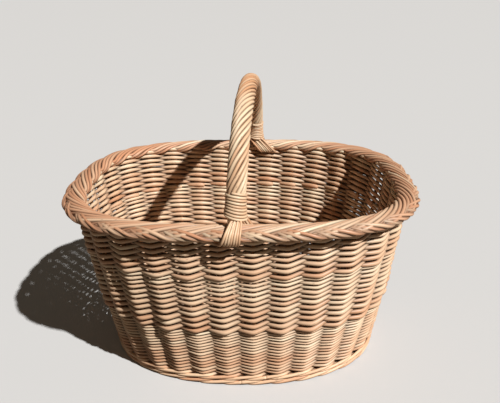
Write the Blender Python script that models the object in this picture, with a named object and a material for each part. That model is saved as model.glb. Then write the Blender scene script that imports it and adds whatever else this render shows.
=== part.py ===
"""Oval willow foraging basket with a fixed, roped cross handle.

X runs along the basket's length, Y across it and Z up, with the origin on the floor under the
middle. Thirty-one upright stakes start flat in the woven base, turn up inside the upsett and carry
three bands of randing: in each band one rod winds upwards, in front of one stake and behind the
next. An odd number of stakes is what makes every row fall opposite the row below. The stakes end
under a plait of three doubled strands, and the handle's bow runs down through that plait and the
top band like two more stakes. Lengths are in metres.
"""

import math

import bmesh
import bpy
import numpy as np

# Sizes over the whole basket
BORDER_LENGTH = 0.500
BORDER_WIDTH = 0.375
BORDER_TOP = 0.275
FOOT_LENGTH = 0.412
FOOT_WIDTH = 0.279
HANDLE_TOP = 0.4135

# Plan outlines are superellipses, and a higher power is squarer
RIM_POWER = 2.85
FOOT_POWER = 2.21
SLATH_POWER = 12.0

# One clearance wherever two willow pieces touch
CLEARANCE = 0.0003

# Stakes
STAKE_COUNT = 31
STAKE_DIAMETER = 0.0062
STAKE_BEND_RADIUS = 0.0066
STAKE_FOOT_LENGTH = 0.020
STAKE_END_BELOW_BORDER = 0.0004
WALL_BULGE_SHARE = 0.085
WALL_KNOT_SHARES = (0.0, 0.35, 0.68, 1.0)

# Upsett, the stout rows that hold the stakes upright
UPSETT_HEIGHT = 0.0195
UPSETT_WALL = 0.0054
UPSETT_CHAMFER = 0.0030
UPSETT_NOTCH_SLOPE = 0.0025

# Randing, in three bands
LOWER_BAND_TOP = 0.098
MIDDLE_BAND_TOP = 0.190
UPPER_BAND_TOP = 0.2522
LOWER_BAND_ROWS = 8
MIDDLE_BAND_ROWS = 10
UPPER_BAND_ROWS = 6
LOWER_WEAVER_THICKNESS = 0.0034
MIDDLE_WEAVER_THICKNESS = 0.0044
UPPER_WEAVER_THICKNESS = 0.0044
WEAVER_ROW_GAP = 0.0004
WEAVER_TAIL = 0.007

# Plaited border
BORDER_BREADTH = 0.033
BORDER_DEPTH = 0.022
BORDER_OVERHANG = 0.007
STRAND_BREADTH = 0.0096
STRAND_DEPTH = 0.0086
STRAND_COUNT = 3
STRAND_PHASE_SHARES = np.array((0, 1, 2, 4, 5, 6, 7, 8, 10, 11)) / 12
STRAND_JOINT_SHARE = 0.25
STRAND_FIRST_JOINT = 2

# Base, with its crossed sticks
BASE_UNDERSIDE = 0.004
BASE_SKIN = 0.0024
BASE_STICK_DIAMETER = 0.0070
LONG_STICK_COUNT = 3
CROSS_STICK_COUNT = 7
CROSS_STICK_CHEEK = 0.0026
CROSS_STICK_SHOULDER = 0.005
SLATH_MARGIN = 0.008

# Handle
BOW_DIAMETER = 0.0148
BOW_PEG_DIAMETER = 0.0082
BOW_TIP_DIAMETER = 0.0060
HANDLE_DIAMETER = 0.0255
HANDLE_ARCH_POWER = 0.86
WRAP_COUNT = 3
WRAP_RODS = 3
WRAP_PITCH = 0.120
WRAP_FLUTE_DEPTH = 0.0012
WRAP_STATIONS = 30
WRAP_START_ABOVE_BORDER = 0.0048

# Binding round each foot of the handle
BINDING_ROD_DIAMETER = 0.0030
BINDING_TURNS = 7
BINDING_TURN_GAP = 0.0012
BINDING_POINTS_PER_TURN = 9
BINDING_LIFT = 0.0006

# Ties, the fans of rods that run from the handle over the border
TIE_RODS = 4
TIE_THICKNESS = 0.0034
TIE_TOP_WIDTH = 0.024
TIE_END_WIDTH = 0.034
TIE_LEANS = (0.014, 0.024)
TIE_FLUTE_DEPTH = 0.0008
TIE_HUG_POWER = 4.0
TIE_STATIONS = 8
TIE_WALL_GAP = 0.0032

STAKE_SIDES = 5
STICK_SIDES = 6
BINDING_SIDES = 5
BOW_SIDES = 8
OUTLINE_SAMPLES = 2400
CUT_OVERRUN = 0.004
SMOOTH_ANGLE = 55.0


def clear_scene():
    """Remove whatever the scene holds."""
    for item in list(bpy.data.objects):
        bpy.data.objects.remove(item)


def make_finish(name, colour, roughness):
    """A plain willow finish of one colour."""
    finish = bpy.data.materials.new(name)
    finish.use_nodes = True
    shader = finish.node_tree.nodes["Principled BSDF"]
    shader.inputs["Base Color"].default_value = (*colour, 1.0)
    shader.inputs["Roughness"].default_value = roughness
    shader.inputs["Metallic"].default_value = 0.0
    return finish


def show(name, mesh, finish):
    """Put a mesh into the scene as a named piece."""
    piece = bpy.data.objects.new(name, mesh)
    bpy.context.scene.collection.objects.link(piece)
    if finish is not None:
        mesh.materials.append(finish)
    return piece


def loft(name, stations, closed=False):
    """Skin a row of rings, each an equal number of points, into one closed body."""
    shape = bmesh.new()
    rings = [[shape.verts.new(point) for point in ring] for ring in stations]
    if closed:
        pairs = zip(rings, rings[1:] + rings[:1])
    else:
        pairs = zip(rings, rings[1:])
        shape.faces.new(rings[0])
        shape.faces.new(rings[-1])
    for ring, following in pairs:
        for index, corner in enumerate(ring):
            previous = index - 1
            shape.faces.new((ring[previous], corner, following[index], following[previous]))
    bmesh.ops.recalc_face_normals(shape, faces=shape.faces)
    mesh = bpy.data.meshes.new(name)
    shape.to_mesh(mesh)
    shape.free()
    mesh.shade_smooth()
    mesh.set_sharp_from_angle(angle=math.radians(SMOOTH_ANGLE))
    return mesh


def unit(vectors):
    """Vectors of length one, along the last axis."""
    return vectors / np.linalg.norm(vectors, axis=-1, keepdims=True)


def directions(path):
    """Tangent at each point of a path: the mean of the runs on its two sides."""
    runs = unit(np.diff(path, axis=0))
    inner = unit(runs[:-1] + runs[1:])
    return np.vstack((runs[:1], inner, runs[-1:]))


def sweep(path, section, lateral):
    """Carry a flat section along a path, with its first axis as near to lateral as it can be."""
    tangent = directions(path)
    across = unit(lateral - tangent * np.sum(lateral * tangent, axis=1, keepdims=True))
    upward = np.cross(tangent, across)
    return (
        path[:, None, :]
        + section[..., 0:1] * across[:, None, :]
        + section[..., 1:2] * upward[:, None, :]
    )


def round_section(diameters, sides):
    """A ring of points for each of several diameters."""
    angles = 2.0 * math.pi * (np.arange(sides) + 0.5) / sides
    circle = np.stack((np.cos(angles), np.sin(angles)), axis=-1)
    return 0.5 * np.asarray(diameters)[:, None, None] * circle


def outline(half_length, half_width, power, shares):
    """Points and outward normals on a superellipse, at shares of its length counted from -Y."""
    turn = np.linspace(0.0, 2.0 * math.pi, OUTLINE_SAMPLES + 1)
    exponent = 2.0 / power
    x = half_length * np.sign(np.sin(turn)) * np.abs(np.sin(turn)) ** exponent
    y = -half_width * np.sign(np.cos(turn)) * np.abs(np.cos(turn)) ** exponent
    travelled = np.concatenate(([0.0], np.cumsum(np.hypot(np.diff(x), np.diff(y)))))
    wanted = np.mod(shares, 1.0) * travelled[-1]
    px = np.interp(wanted, travelled, x)
    py = np.interp(wanted, travelled, y)
    nx = np.sign(px) * np.abs(px / half_length) ** (power - 1.0) / half_length
    ny = np.sign(py) * np.abs(py / half_width) ** (power - 1.0) / half_width
    points = np.stack((px, py), axis=-1)
    normals = unit(np.stack((nx, ny), axis=-1))
    return points, normals


def outline_length(half_length, half_width, power):
    """Length once round a superellipse."""
    points, _ = outline(half_length, half_width, power, np.linspace(0.0, 1.0, OUTLINE_SAMPLES))
    return float(np.sum(np.linalg.norm(np.diff(points, axis=0), axis=1)))


# The line that the plait runs along, and the wall's middle surface under it
PLAIT_HALF_LENGTH = 0.5 * (BORDER_LENGTH - BORDER_BREADTH)
PLAIT_HALF_WIDTH = 0.5 * (BORDER_WIDTH - BORDER_BREADTH)
PLAIT_MIDDLE = BORDER_TOP - 0.5 * BORDER_DEPTH
PLAIT_LENGTH = outline_length(PLAIT_HALF_LENGTH, PLAIT_HALF_WIDTH, RIM_POWER)
BORDER_UNDERSIDE = BORDER_TOP - BORDER_DEPTH
WALL_TOP = BORDER_UNDERSIDE - STAKE_END_BELOW_BORDER
UPSETT_THICKNESS = STAKE_DIAMETER + 2.0 * UPSETT_WALL
STAKE_SHARES = (np.arange(STAKE_COUNT) + 0.5) / STAKE_COUNT
FOOT_PERIMETER = outline_length(0.5 * FOOT_LENGTH, 0.5 * FOOT_WIDTH, FOOT_POWER)

# The handle's feet stand in the front gap between stakes and in the gap half a stake before the back
FOOT_GAPS = (0, STAKE_COUNT // 2)
FOOT_SHARES = np.array(FOOT_GAPS) / STAKE_COUNT


def wall_at(shares, heights):
    """Centre points and outward normals of the wall, at perimeter shares and heights alike."""
    shares = np.asarray(shares, dtype=float)
    heights = np.asarray(heights, dtype=float)
    rim_half_length = PLAIT_HALF_LENGTH - BORDER_OVERHANG
    rim_half_width = PLAIT_HALF_WIDTH - BORDER_OVERHANG
    foot_half_length = 0.5 * (FOOT_LENGTH - UPSETT_THICKNESS)
    foot_half_width = 0.5 * (FOOT_WIDTH - UPSETT_THICKNESS)
    rim_points, rim_normals = outline(rim_half_length, rim_half_width, RIM_POWER, shares)
    foot_points, foot_normals = outline(foot_half_length, foot_half_width, FOOT_POWER, shares)
    knots = np.array(WALL_KNOT_SHARES)
    flares = knots + 4.0 * WALL_BULGE_SHARE * knots * (1.0 - knots)
    rise = heights / WALL_TOP
    flare = np.interp(rise, knots, flares)[..., None]
    flat = foot_points + (rim_points - foot_points) * flare
    normals = unit(foot_normals + (rim_normals - foot_normals) * flare)
    centres = np.concatenate((flat, heights[..., None]), axis=-1)
    return centres, np.concatenate((normals, np.zeros_like(heights)[..., None]), axis=-1)


def border_at(shares, outward, heights):
    """Points over the plait's line, set outward from it by a distance and at a height."""
    points, normals = outline(PLAIT_HALF_LENGTH, PLAIT_HALF_WIDTH, RIM_POWER, shares)
    flat = points + normals * np.asarray(outward)[..., None]
    return np.concatenate((flat, np.asarray(heights)[..., None]), axis=-1)


def stake_path(share):
    """From its foot in the base, through the bend and up the wall to under the border."""
    bend_height = 0.5 * (BASE_UNDERSIDE + BASE_TOP)
    turn = np.radians(np.array((0.0, 45.0, 90.0)))
    inward = STAKE_BEND_RADIUS * (1.0 - np.sin(turn))
    bend_rise = bend_height + STAKE_BEND_RADIUS * (1.0 - np.cos(turn))
    knots = np.array(WALL_KNOT_SHARES) * WALL_TOP
    wall_heights = knots[knots > bend_rise[-1]]
    start, outward = wall_at(share, bend_rise[-1])
    bend = start - outward * inward[:, None]
    bend[:, 2] = bend_rise
    foot = bend[0] - outward * STAKE_FOOT_LENGTH
    wall, _ = wall_at(np.full(wall_heights.shape, share), wall_heights)
    return np.vstack((foot, bend, wall)), outward


def stake_mesh(name, share, clearance=0.0):
    """One stake, or with a clearance the room that it needs in the pieces round it."""
    path, outward = stake_path(share)
    sideways = np.cross(outward, (0.0, 0.0, 1.0))
    diameters = np.full(len(path), STAKE_DIAMETER + 2.0 * clearance)
    rings = sweep(path, round_section(diameters, STAKE_SIDES), np.tile(sideways, (len(path), 1)))
    return loft(name, rings)


def cut(piece, name, meshes):
    """Take one joined cutter, made of several bodies that stand apart, out of a piece."""
    joined = bmesh.new()
    for mesh in meshes:
        joined.from_mesh(mesh)
    mesh = bpy.data.meshes.new(name)
    joined.to_mesh(mesh)
    joined.free()
    cutter = show(name, mesh, None)
    cutter.hide_render = True
    cutter.display_type = "WIRE"
    modifier = piece.modifiers.new(name, "BOOLEAN")
    modifier.operation = "DIFFERENCE"
    modifier.object = cutter


def notch_shares():
    """Perimeter shares of the four corners of the upsett's notch behind each stake."""
    mouth = (0.5 * STAKE_DIAMETER + 3.0 * CLEARANCE) / FOOT_PERIMETER
    slope = UPSETT_NOTCH_SLOPE / FOOT_PERIMETER
    return STAKE_SHARES[:, None] + np.array((-mouth - slope, -mouth, mouth, mouth + slope))


# Base

BASE_TOP = BASE_UNDERSIDE + 2.0 * BASE_SKIN + max(BASE_STICK_DIAMETER, STAKE_DIAMETER)
BASE_MIDDLE = 0.5 * (BASE_UNDERSIDE + BASE_TOP)
LONG_STICK_PITCH = BASE_STICK_DIAMETER + CLEARANCE
CROSS_STICK_PITCH = (FOOT_LENGTH - FOOT_WIDTH) / (CROSS_STICK_COUNT - 1)
SLATH_HALF_WIDTH = 0.5 * (LONG_STICK_COUNT * LONG_STICK_PITCH) + SLATH_MARGIN
SLATH_HALF_LENGTH = 0.5 * (CROSS_STICK_COUNT - 1) * CROSS_STICK_PITCH + SLATH_MARGIN


def base_reach(offset, along_x):
    """How far a stick that lies beside an axis by an offset reaches, clear of the stakes' feet."""
    inset = 0.5 * UPSETT_THICKNESS + STAKE_BEND_RADIUS + STAKE_FOOT_LENGTH + STAKE_DIAMETER
    half_length = 0.5 * FOOT_LENGTH - inset
    half_width = 0.5 * FOOT_WIDTH - inset
    along, beside = (half_length, half_width) if along_x else (half_width, half_length)
    return along * (1.0 - abs(offset / beside) ** FOOT_POWER) ** (1.0 / FOOT_POWER)


def straight_stick(name, offset, along_x, clearance=0.0):
    """A round stick across the whole base, or the room that it needs."""
    reach = base_reach(offset, along_x) + clearance
    stations = np.array((-reach, reach))
    still = np.full(2, offset)
    level = np.full(2, BASE_MIDDLE)
    columns = (stations, still, level) if along_x else (still, stations, level)
    path = np.stack(columns, axis=-1)
    diameters = np.full(2, BASE_STICK_DIAMETER + 2.0 * clearance)
    sideways = np.tile((0.0, 0.0, 1.0), (2, 1))
    return loft(name, sweep(path, round_section(diameters, STICK_SIDES), sideways))


def split_stick(name, offset):
    """A cross stick, split in the middle so that the long sticks pass between its two cheeks."""
    reach = base_reach(offset, False)
    slot_half_width = 0.5 * LONG_STICK_COUNT * LONG_STICK_PITCH + 0.5 * CLEARANCE
    slot_half_height = 0.5 * BASE_STICK_DIAMETER + CLEARANCE
    shoulder = slot_half_width + CROSS_STICK_SHOULDER
    stations = np.array((-reach, -shoulder, -slot_half_width, slot_half_width, shoulder, reach))
    path = np.stack((np.full(6, offset), stations, np.full(6, BASE_MIDDLE)), axis=-1)
    plain = BASE_STICK_DIAMETER
    opened = 2.0 * (slot_half_height + CROSS_STICK_CHEEK)
    tall = np.array((plain, plain, opened, opened, plain, plain))
    section = round_section(tall, STICK_SIDES)
    section[..., 1] = round_section(np.full(6, plain), STICK_SIDES)[..., 1]
    rings = sweep(path, section, np.tile((0.0, 0.0, 1.0), (6, 1)))
    slot = bmesh.new()
    bmesh.ops.create_cube(slot, size=1.0)
    size = (plain + CUT_OVERRUN, 2.0 * slot_half_width, 2.0 * slot_half_height)
    bmesh.ops.scale(slot, vec=size, verts=slot.verts)
    bmesh.ops.translate(slot, vec=(offset, 0.0, BASE_MIDDLE), verts=slot.verts)
    mesh = bpy.data.meshes.new(name + "_slot")
    slot.to_mesh(mesh)
    slot.free()
    return loft(name, rings), mesh


def base_weave_mesh(name):
    """The woven oval round the crossed sticks, as one flat ring that fits inside the upsett."""
    notches = notch_shares()
    shares = notches[:, (0, 3)].ravel()
    inner, _ = outline(SLATH_HALF_LENGTH, SLATH_HALF_WIDTH, SLATH_POWER, shares)
    columns = []
    for height in (BASE_TOP, BASE_UNDERSIDE):
        level = np.full_like(shares, height)
        centre, normal = wall_at(shares, level)
        columns.append(centre - normal * (0.5 * UPSETT_THICKNESS + CLEARANCE))
        columns.append(np.column_stack((inner, level)))
    outer_top, inner_top, outer_low, inner_low = columns
    return loft(name, np.stack((inner_top, outer_top, outer_low, inner_low), axis=1), closed=True)


def build_base(finishes):
    """The crossed sticks and the weave that holds them."""
    long_offsets = (np.arange(LONG_STICK_COUNT) - 0.5 * (LONG_STICK_COUNT - 1)) * LONG_STICK_PITCH
    cross_offsets = (np.arange(CROSS_STICK_COUNT) - 0.5 * (CROSS_STICK_COUNT - 1)) * CROSS_STICK_PITCH
    rooms = []
    for number, offset in enumerate(long_offsets, start=1):
        name = f"base_long_stick_{number}"
        show(name, straight_stick(name, offset, True), finishes["stick"])
        rooms.append(straight_stick(name + "_room", offset, True, CLEARANCE))
    for number, offset in enumerate(cross_offsets, start=1):
        name = f"base_cross_stick_{number}"
        mesh, slot = split_stick(name, offset)
        cut(show(name, mesh, finishes["stick"]), name + "_slot", [slot])
        rooms.append(straight_stick(name + "_room", offset, False, CLEARANCE))
    weave = show("base_weave", base_weave_mesh("base_weave"), finishes["weave"])
    for number, room in enumerate(rooms, start=1):
        cut(weave, f"base_stick_room_{number}", [room])
    return weave


# Upsett and stakes

def upsett_mesh(name):
    """A stout open ring on the floor, with a notch behind each stake, whose top climbs by one row."""
    slit = 0.5 * CLEARANCE / PLAIT_LENGTH
    half = 0.5 * UPSETT_THICKNESS
    notch_floor = 0.5 * STAKE_DIAMETER + 2.0 * CLEARANCE
    shares = np.concatenate(((slit,), notch_shares().ravel(), (1.0 - slit,)))
    notched = np.tile((-half, notch_floor, notch_floor, -half), STAKE_COUNT)
    inward = np.concatenate(((-half,), notched, (-half,)))
    top = row_level(shares)
    level = np.zeros_like(shares)
    rounded = np.full_like(shares, half - UPSETT_CHAMFER)
    corners = (
        (inward, level),
        (rounded, level),
        (np.full_like(shares, half), 0.5 * top),
        (rounded, top),
        (inward, top),
    )
    columns = []
    for outward, height in corners:
        centre, normal = wall_at(shares, height)
        columns.append(centre + normal * outward[:, None])
    return loft(name, np.stack(columns, axis=1))


def build_stakes(finishes, weave):
    """Thirty-one stakes, with sockets for their feet in the base weave."""
    rooms = []
    for number, share in enumerate(STAKE_SHARES, start=1):
        name = f"stake_{number:02d}"
        show(name, stake_mesh(name, share), finishes["stake"])
        rooms.append(stake_mesh(name + "_room", share, CLEARANCE))
    cut(weave, "stake_sockets", rooms)


# Randing

def weave_amplitude(post_diameter, pitch, thickness):
    """How far a rod's middle swings from the wall's middle to pass a post, zigzagging between posts."""
    reach = 0.5 * (post_diameter + thickness) + CLEARANCE
    slope = 2.0 * reach / pitch + 0.5 * pitch / (0.5 * FOOT_WIDTH)
    return 0.5 * post_diameter * math.hypot(1.0, slope) + 0.5 * thickness + 2.0 * CLEARANCE


def row_level(rows):
    """Height of the underside of the randing after so many rows, counted from the upsett."""
    band_rows = np.cumsum((0, LOWER_BAND_ROWS, MIDDLE_BAND_ROWS, UPPER_BAND_ROWS + 1))
    return np.interp(rows, band_rows, (UPSETT_HEIGHT, LOWER_BAND_TOP, MIDDLE_BAND_TOP, UPPER_BAND_TOP))


def band_mesh(name, first_row, rows, thickness, shares, diameters):
    """One rod wound upwards through the posts, and out and in by turns."""
    count = len(shares)
    visits = np.arange(rows * count)
    visit_shares = shares[visits % count]
    climbed = first_row + visits // count + visit_shares
    heights = 0.5 * (row_level(climbed) + row_level(climbed + 1.0))
    tall = 0.5 * (row_level(climbed + 1.0) - row_level(climbed) - WEAVER_ROW_GAP)
    sides = np.where(visits % 2 == 0, 1.0, -1.0)
    spacing = np.diff(np.concatenate((shares, shares[:1] + 1.0))) * FOOT_PERIMETER
    nearest = np.minimum(spacing, np.roll(spacing, 1))
    swings = np.array([weave_amplitude(wide, gap, thickness) for wide, gap in zip(diameters, nearest)])
    centres, normals = wall_at(visit_shares, heights)
    path = centres + normals * (sides * swings[visits % count])[:, None]
    runs = directions(path)
    path = np.vstack((path[0] - WEAVER_TAIL * runs[0], path, path[-1] + WEAVER_TAIL * runs[-1]))
    normals = np.vstack((normals[:1], normals, normals[-1:]))
    tall = np.concatenate((tall[:1], tall, tall[-1:]))
    thick = np.full_like(tall, 0.5 * thickness)
    level = np.zeros_like(tall)
    corners = ((thick, level), (level, tall), (-thick, level), (level, -tall))
    sections = np.stack([np.column_stack(corner) for corner in corners], axis=1)
    return loft(name, sweep(path, sections, normals))


def build_wall(finishes):
    """Upsett and the three bands of randing."""
    show("upsett_wale", upsett_mesh("upsett_wale"), finishes["weave"])
    plain = np.full(STAKE_COUNT, STAKE_DIAMETER)
    posts = np.concatenate((STAKE_SHARES, FOOT_SHARES))
    widths = np.concatenate((plain, np.full(2, BOW_PEG_DIAMETER)))
    order = np.argsort(posts)
    bands = (
        ("lower_band", LOWER_BAND_ROWS, LOWER_WEAVER_THICKNESS, STAKE_SHARES, plain),
        ("middle_band", MIDDLE_BAND_ROWS, MIDDLE_WEAVER_THICKNESS, STAKE_SHARES, plain),
        ("upper_band", UPPER_BAND_ROWS, UPPER_WEAVER_THICKNESS, posts[order], widths[order]),
    )
    first_row = 0
    for name, rows, thickness, shares, diameters in bands:
        mesh = band_mesh(name, first_row, rows, thickness, shares, diameters)
        show(name, mesh, finishes["weave"])
        first_row += rows


# Plaited border

def plait_path(periods):
    """The one path that all strands share, which closes after three turns of the border.

    A period is three stakes long. In it the path swings once in and out, and over and under twice.
    Where it passes inside one of the bow's pegs it swings a little further in.
    """
    turns = periods * STRAND_COUNT / STAKE_COUNT
    swing = 0.5 * (BORDER_BREADTH - STRAND_BREADTH)
    lift = 0.5 * (BORDER_DEPTH - STRAND_DEPTH)
    phase = 2.0 * math.pi * periods
    outward = -swing * np.cos(phase)
    heights = PLAIT_MIDDLE - lift * np.sin(2.0 * phase)
    clear_of_peg = BORDER_OVERHANG + 0.5 * (BOW_PEG_DIAMETER + STRAND_BREADTH) + 2.0 * CLEARANCE
    opening = max(clear_of_peg - swing, 0.0)
    for gap in FOOT_GAPS:
        for place in range(gap, gap + STRAND_COUNT * STAKE_COUNT + 1, STAKE_COUNT):
            if place % STRAND_COUNT == 0:
                distance = np.abs(turns * STAKE_COUNT - place)
                nearness = np.clip(1.0 - 2.0 * distance, 0.0, 1.0)
                outward = outward - opening * np.sin(0.5 * math.pi * nearness) ** 2
    return border_at(turns, outward, heights), turns


def strand_section():
    """Two rods side by side, seen end on."""
    half = 0.5 * STRAND_BREADTH
    tall = 0.5 * STRAND_DEPTH
    return np.array((
        (half, 0.0),
        (0.5 * half, tall),
        (-0.5 * half, tall),
        (-half, 0.0),
        (-0.5 * half, -tall),
        (0.5 * half, -tall),
    ))


def build_border(finishes):
    """Three strands, each about once round, end to end along the plait's path."""
    slit = CLEARANCE * STAKE_COUNT / STRAND_COUNT / PLAIT_LENGTH
    whole = STAKE_COUNT // STRAND_COUNT
    first = STRAND_FIRST_JOINT + STRAND_JOINT_SHARE
    joints = [first + whole * number for number in range(STRAND_COUNT)] + [first + STAKE_COUNT]
    for number, (start, end) in enumerate(zip(joints, joints[1:]), start=1):
        crossings = (np.arange(2 * STAKE_COUNT)[:, None] + STRAND_PHASE_SHARES).ravel()
        inside = crossings[(crossings > start + slit) & (crossings < end - slit)]
        path, turns = plait_path(np.concatenate(((start + slit,), inside, (end - slit,))))
        _, normals = outline(PLAIT_HALF_LENGTH, PLAIT_HALF_WIDTH, RIM_POWER, turns)
        lateral = np.column_stack((normals, np.zeros(len(turns))))
        sections = np.tile(strand_section(), (len(turns), 1, 1))
        name = f"border_strand_{number}"
        show(name, loft(name, sweep(path, sections, lateral)), finishes["border"])


# Handle

def handle_path(samples):
    """The arch's middle line from the front foot to the back one, with no pegs, as even points."""
    feet, _ = wall_at(FOOT_SHARES, np.full(2, PLAIT_MIDDLE))
    middle = 0.5 * (feet[0] + feet[1])
    half_span = 0.5 * (feet[1] - feet[0])
    crown = HANDLE_TOP - 0.5 * HANDLE_DIAMETER
    turn = np.linspace(0.0, math.pi, OUTLINE_SAMPLES)
    arch = middle - half_span * np.cos(turn)[:, None]
    arch[:, 2] = PLAIT_MIDDLE + (crown - PLAIT_MIDDLE) * np.sin(turn) ** HANDLE_ARCH_POWER
    above = arch[arch[:, 2] >= BORDER_TOP + WRAP_START_ABOVE_BORDER]
    travelled = np.concatenate(([0.0], np.cumsum(np.linalg.norm(np.diff(above, axis=0), axis=1))))
    wanted = np.linspace(0.0, travelled[-1], samples)
    even = [np.interp(wanted, travelled, above[:, axis]) for axis in range(3)]
    return np.stack(even, axis=-1), half_span, travelled[-1]


def handle_across(half_span, count):
    """The direction square to the arch's plane, once for each station."""
    return np.tile(unit(np.cross(half_span, (0.0, 0.0, 1.0))), (count, 1))


def peg_path(foot_share):
    """Points up from the bow's tip, which stands on the middle band, to the border's top."""
    tip = row_level(LOWER_BAND_ROWS + MIDDLE_BAND_ROWS + foot_share) + 2.0 * CLEARANCE
    heights = np.array((tip, WALL_TOP, BORDER_TOP))
    points, _ = wall_at(np.full(len(heights), foot_share), heights)
    return points


def build_handle(finishes):
    """The bow, with its two pegs, and the rods wrapped round it."""
    arch, half_span, length = handle_path(WRAP_STATIONS // 2 + 1)
    front = peg_path(FOOT_SHARES[0])
    back = peg_path(FOOT_SHARES[1])[::-1]
    path = np.vstack((front, arch, back))
    taper = (BOW_TIP_DIAMETER, BOW_PEG_DIAMETER, BOW_PEG_DIAMETER)
    diameters = np.concatenate((taper, np.full(len(arch), BOW_DIAMETER), taper[::-1]))
    across = handle_across(half_span, len(path))
    show("handle_bow", loft("handle_bow", sweep(path, round_section(diameters, BOW_SIDES), across)),
         finishes["bow"])
    stations, _, _ = handle_path(WRAP_STATIONS + 1)
    for number in range(WRAP_COUNT):
        sections = wrap_sections(number, length)
        across = handle_across(half_span, len(stations))
        name = f"handle_wrap_{number + 1}"
        show(name, loft(name, sweep(stations, sections, across)), finishes["wrap"])


def wrap_sections(number, length):
    """A ribbon of rods side by side, as a sector that turns steadily along the bow."""
    inner_points = 3
    twist_step = 2.0 * math.pi * length / WRAP_PITCH / WRAP_STATIONS
    facet = math.cos(0.5 * twist_step) * math.cos(math.pi / WRAP_COUNT / (inner_points - 1))
    inner = (0.5 * BOW_DIAMETER + CLEARANCE) / facet
    outer = 0.5 * HANDLE_DIAMETER
    sector = 2.0 * math.pi / WRAP_COUNT
    margin = 0.5 * CLEARANCE / inner
    inner_angles = np.linspace(sector - margin, margin, inner_points)
    outer_angles = np.linspace(margin, sector - margin, 2 * WRAP_RODS + 1)
    crests = np.where(np.arange(2 * WRAP_RODS + 1) % 2 == 0, outer - WRAP_FLUTE_DEPTH, outer)
    angles = np.concatenate((inner_angles, outer_angles))
    radii = np.concatenate((np.full(inner_points, inner), crests))
    turned = twist_step * np.arange(WRAP_STATIONS + 1)[:, None] + number * sector
    swept = angles[None, :] + turned
    return np.stack((radii * np.cos(swept), radii * np.sin(swept)), axis=-1)


def binding_path(stations, half_span):
    """A rising coil round the handle, with a short straight end at each side."""
    facet = math.cos(math.pi / BINDING_POINTS_PER_TURN)
    radius = (0.5 * HANDLE_DIAMETER + CLEARANCE + 0.5 * BINDING_ROD_DIAMETER) / facet
    pitch = BINDING_ROD_DIAMETER + BINDING_TURN_GAP
    count = BINDING_TURNS * BINDING_POINTS_PER_TURN + 1
    travelled = np.concatenate(([0.0], np.cumsum(np.linalg.norm(np.diff(stations, axis=0), axis=1))))
    along = 0.5 * BINDING_ROD_DIAMETER + BINDING_LIFT
    along = along + pitch * np.arange(count) / BINDING_POINTS_PER_TURN
    centres = np.stack([np.interp(along, travelled, stations[:, axis]) for axis in range(3)], axis=-1)
    tangent = unit(np.gradient(centres, axis=0))
    across = handle_across(half_span, count)
    upward = np.cross(tangent, across)
    turn = 2.0 * math.pi * np.arange(count)[:, None] / BINDING_POINTS_PER_TURN
    coil = centres + radius * (np.cos(turn) * across + np.sin(turn) * upward)
    runs = directions(coil)
    first = coil[0] - BINDING_ROD_DIAMETER * runs[0]
    last = coil[-1] + BINDING_ROD_DIAMETER * runs[-1]
    return np.vstack((first, coil, last)), tangent


def least_gap(path):
    """The least room between one turn of a coil and the next, from its points."""
    coil = path[1:-1]
    lower = coil[:-BINDING_POINTS_PER_TURN]
    upper = coil[BINDING_POINTS_PER_TURN:]
    return float(np.min(np.linalg.norm(upper - lower, axis=1))) - BINDING_ROD_DIAMETER


def build_bindings(finishes):
    """One wound rod round each foot of the handle."""
    stations, half_span, _ = handle_path(4 * WRAP_STATIONS + 1)
    sides = (("front_binding", stations), ("back_binding", stations[::-1]))
    for name, line in sides:
        path, tangent = binding_path(line, half_span)
        lateral = np.vstack((tangent[:1], tangent, tangent[-1:]))
        diameters = np.full(len(path), BINDING_ROD_DIAMETER)
        rings = sweep(path, round_section(diameters, BINDING_SIDES), lateral)
        show(name, loft(name, rings), finishes["wrap"])
        print(f"{name}: least gap to itself {1000.0 * least_gap(path):.2f} mm")


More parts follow.
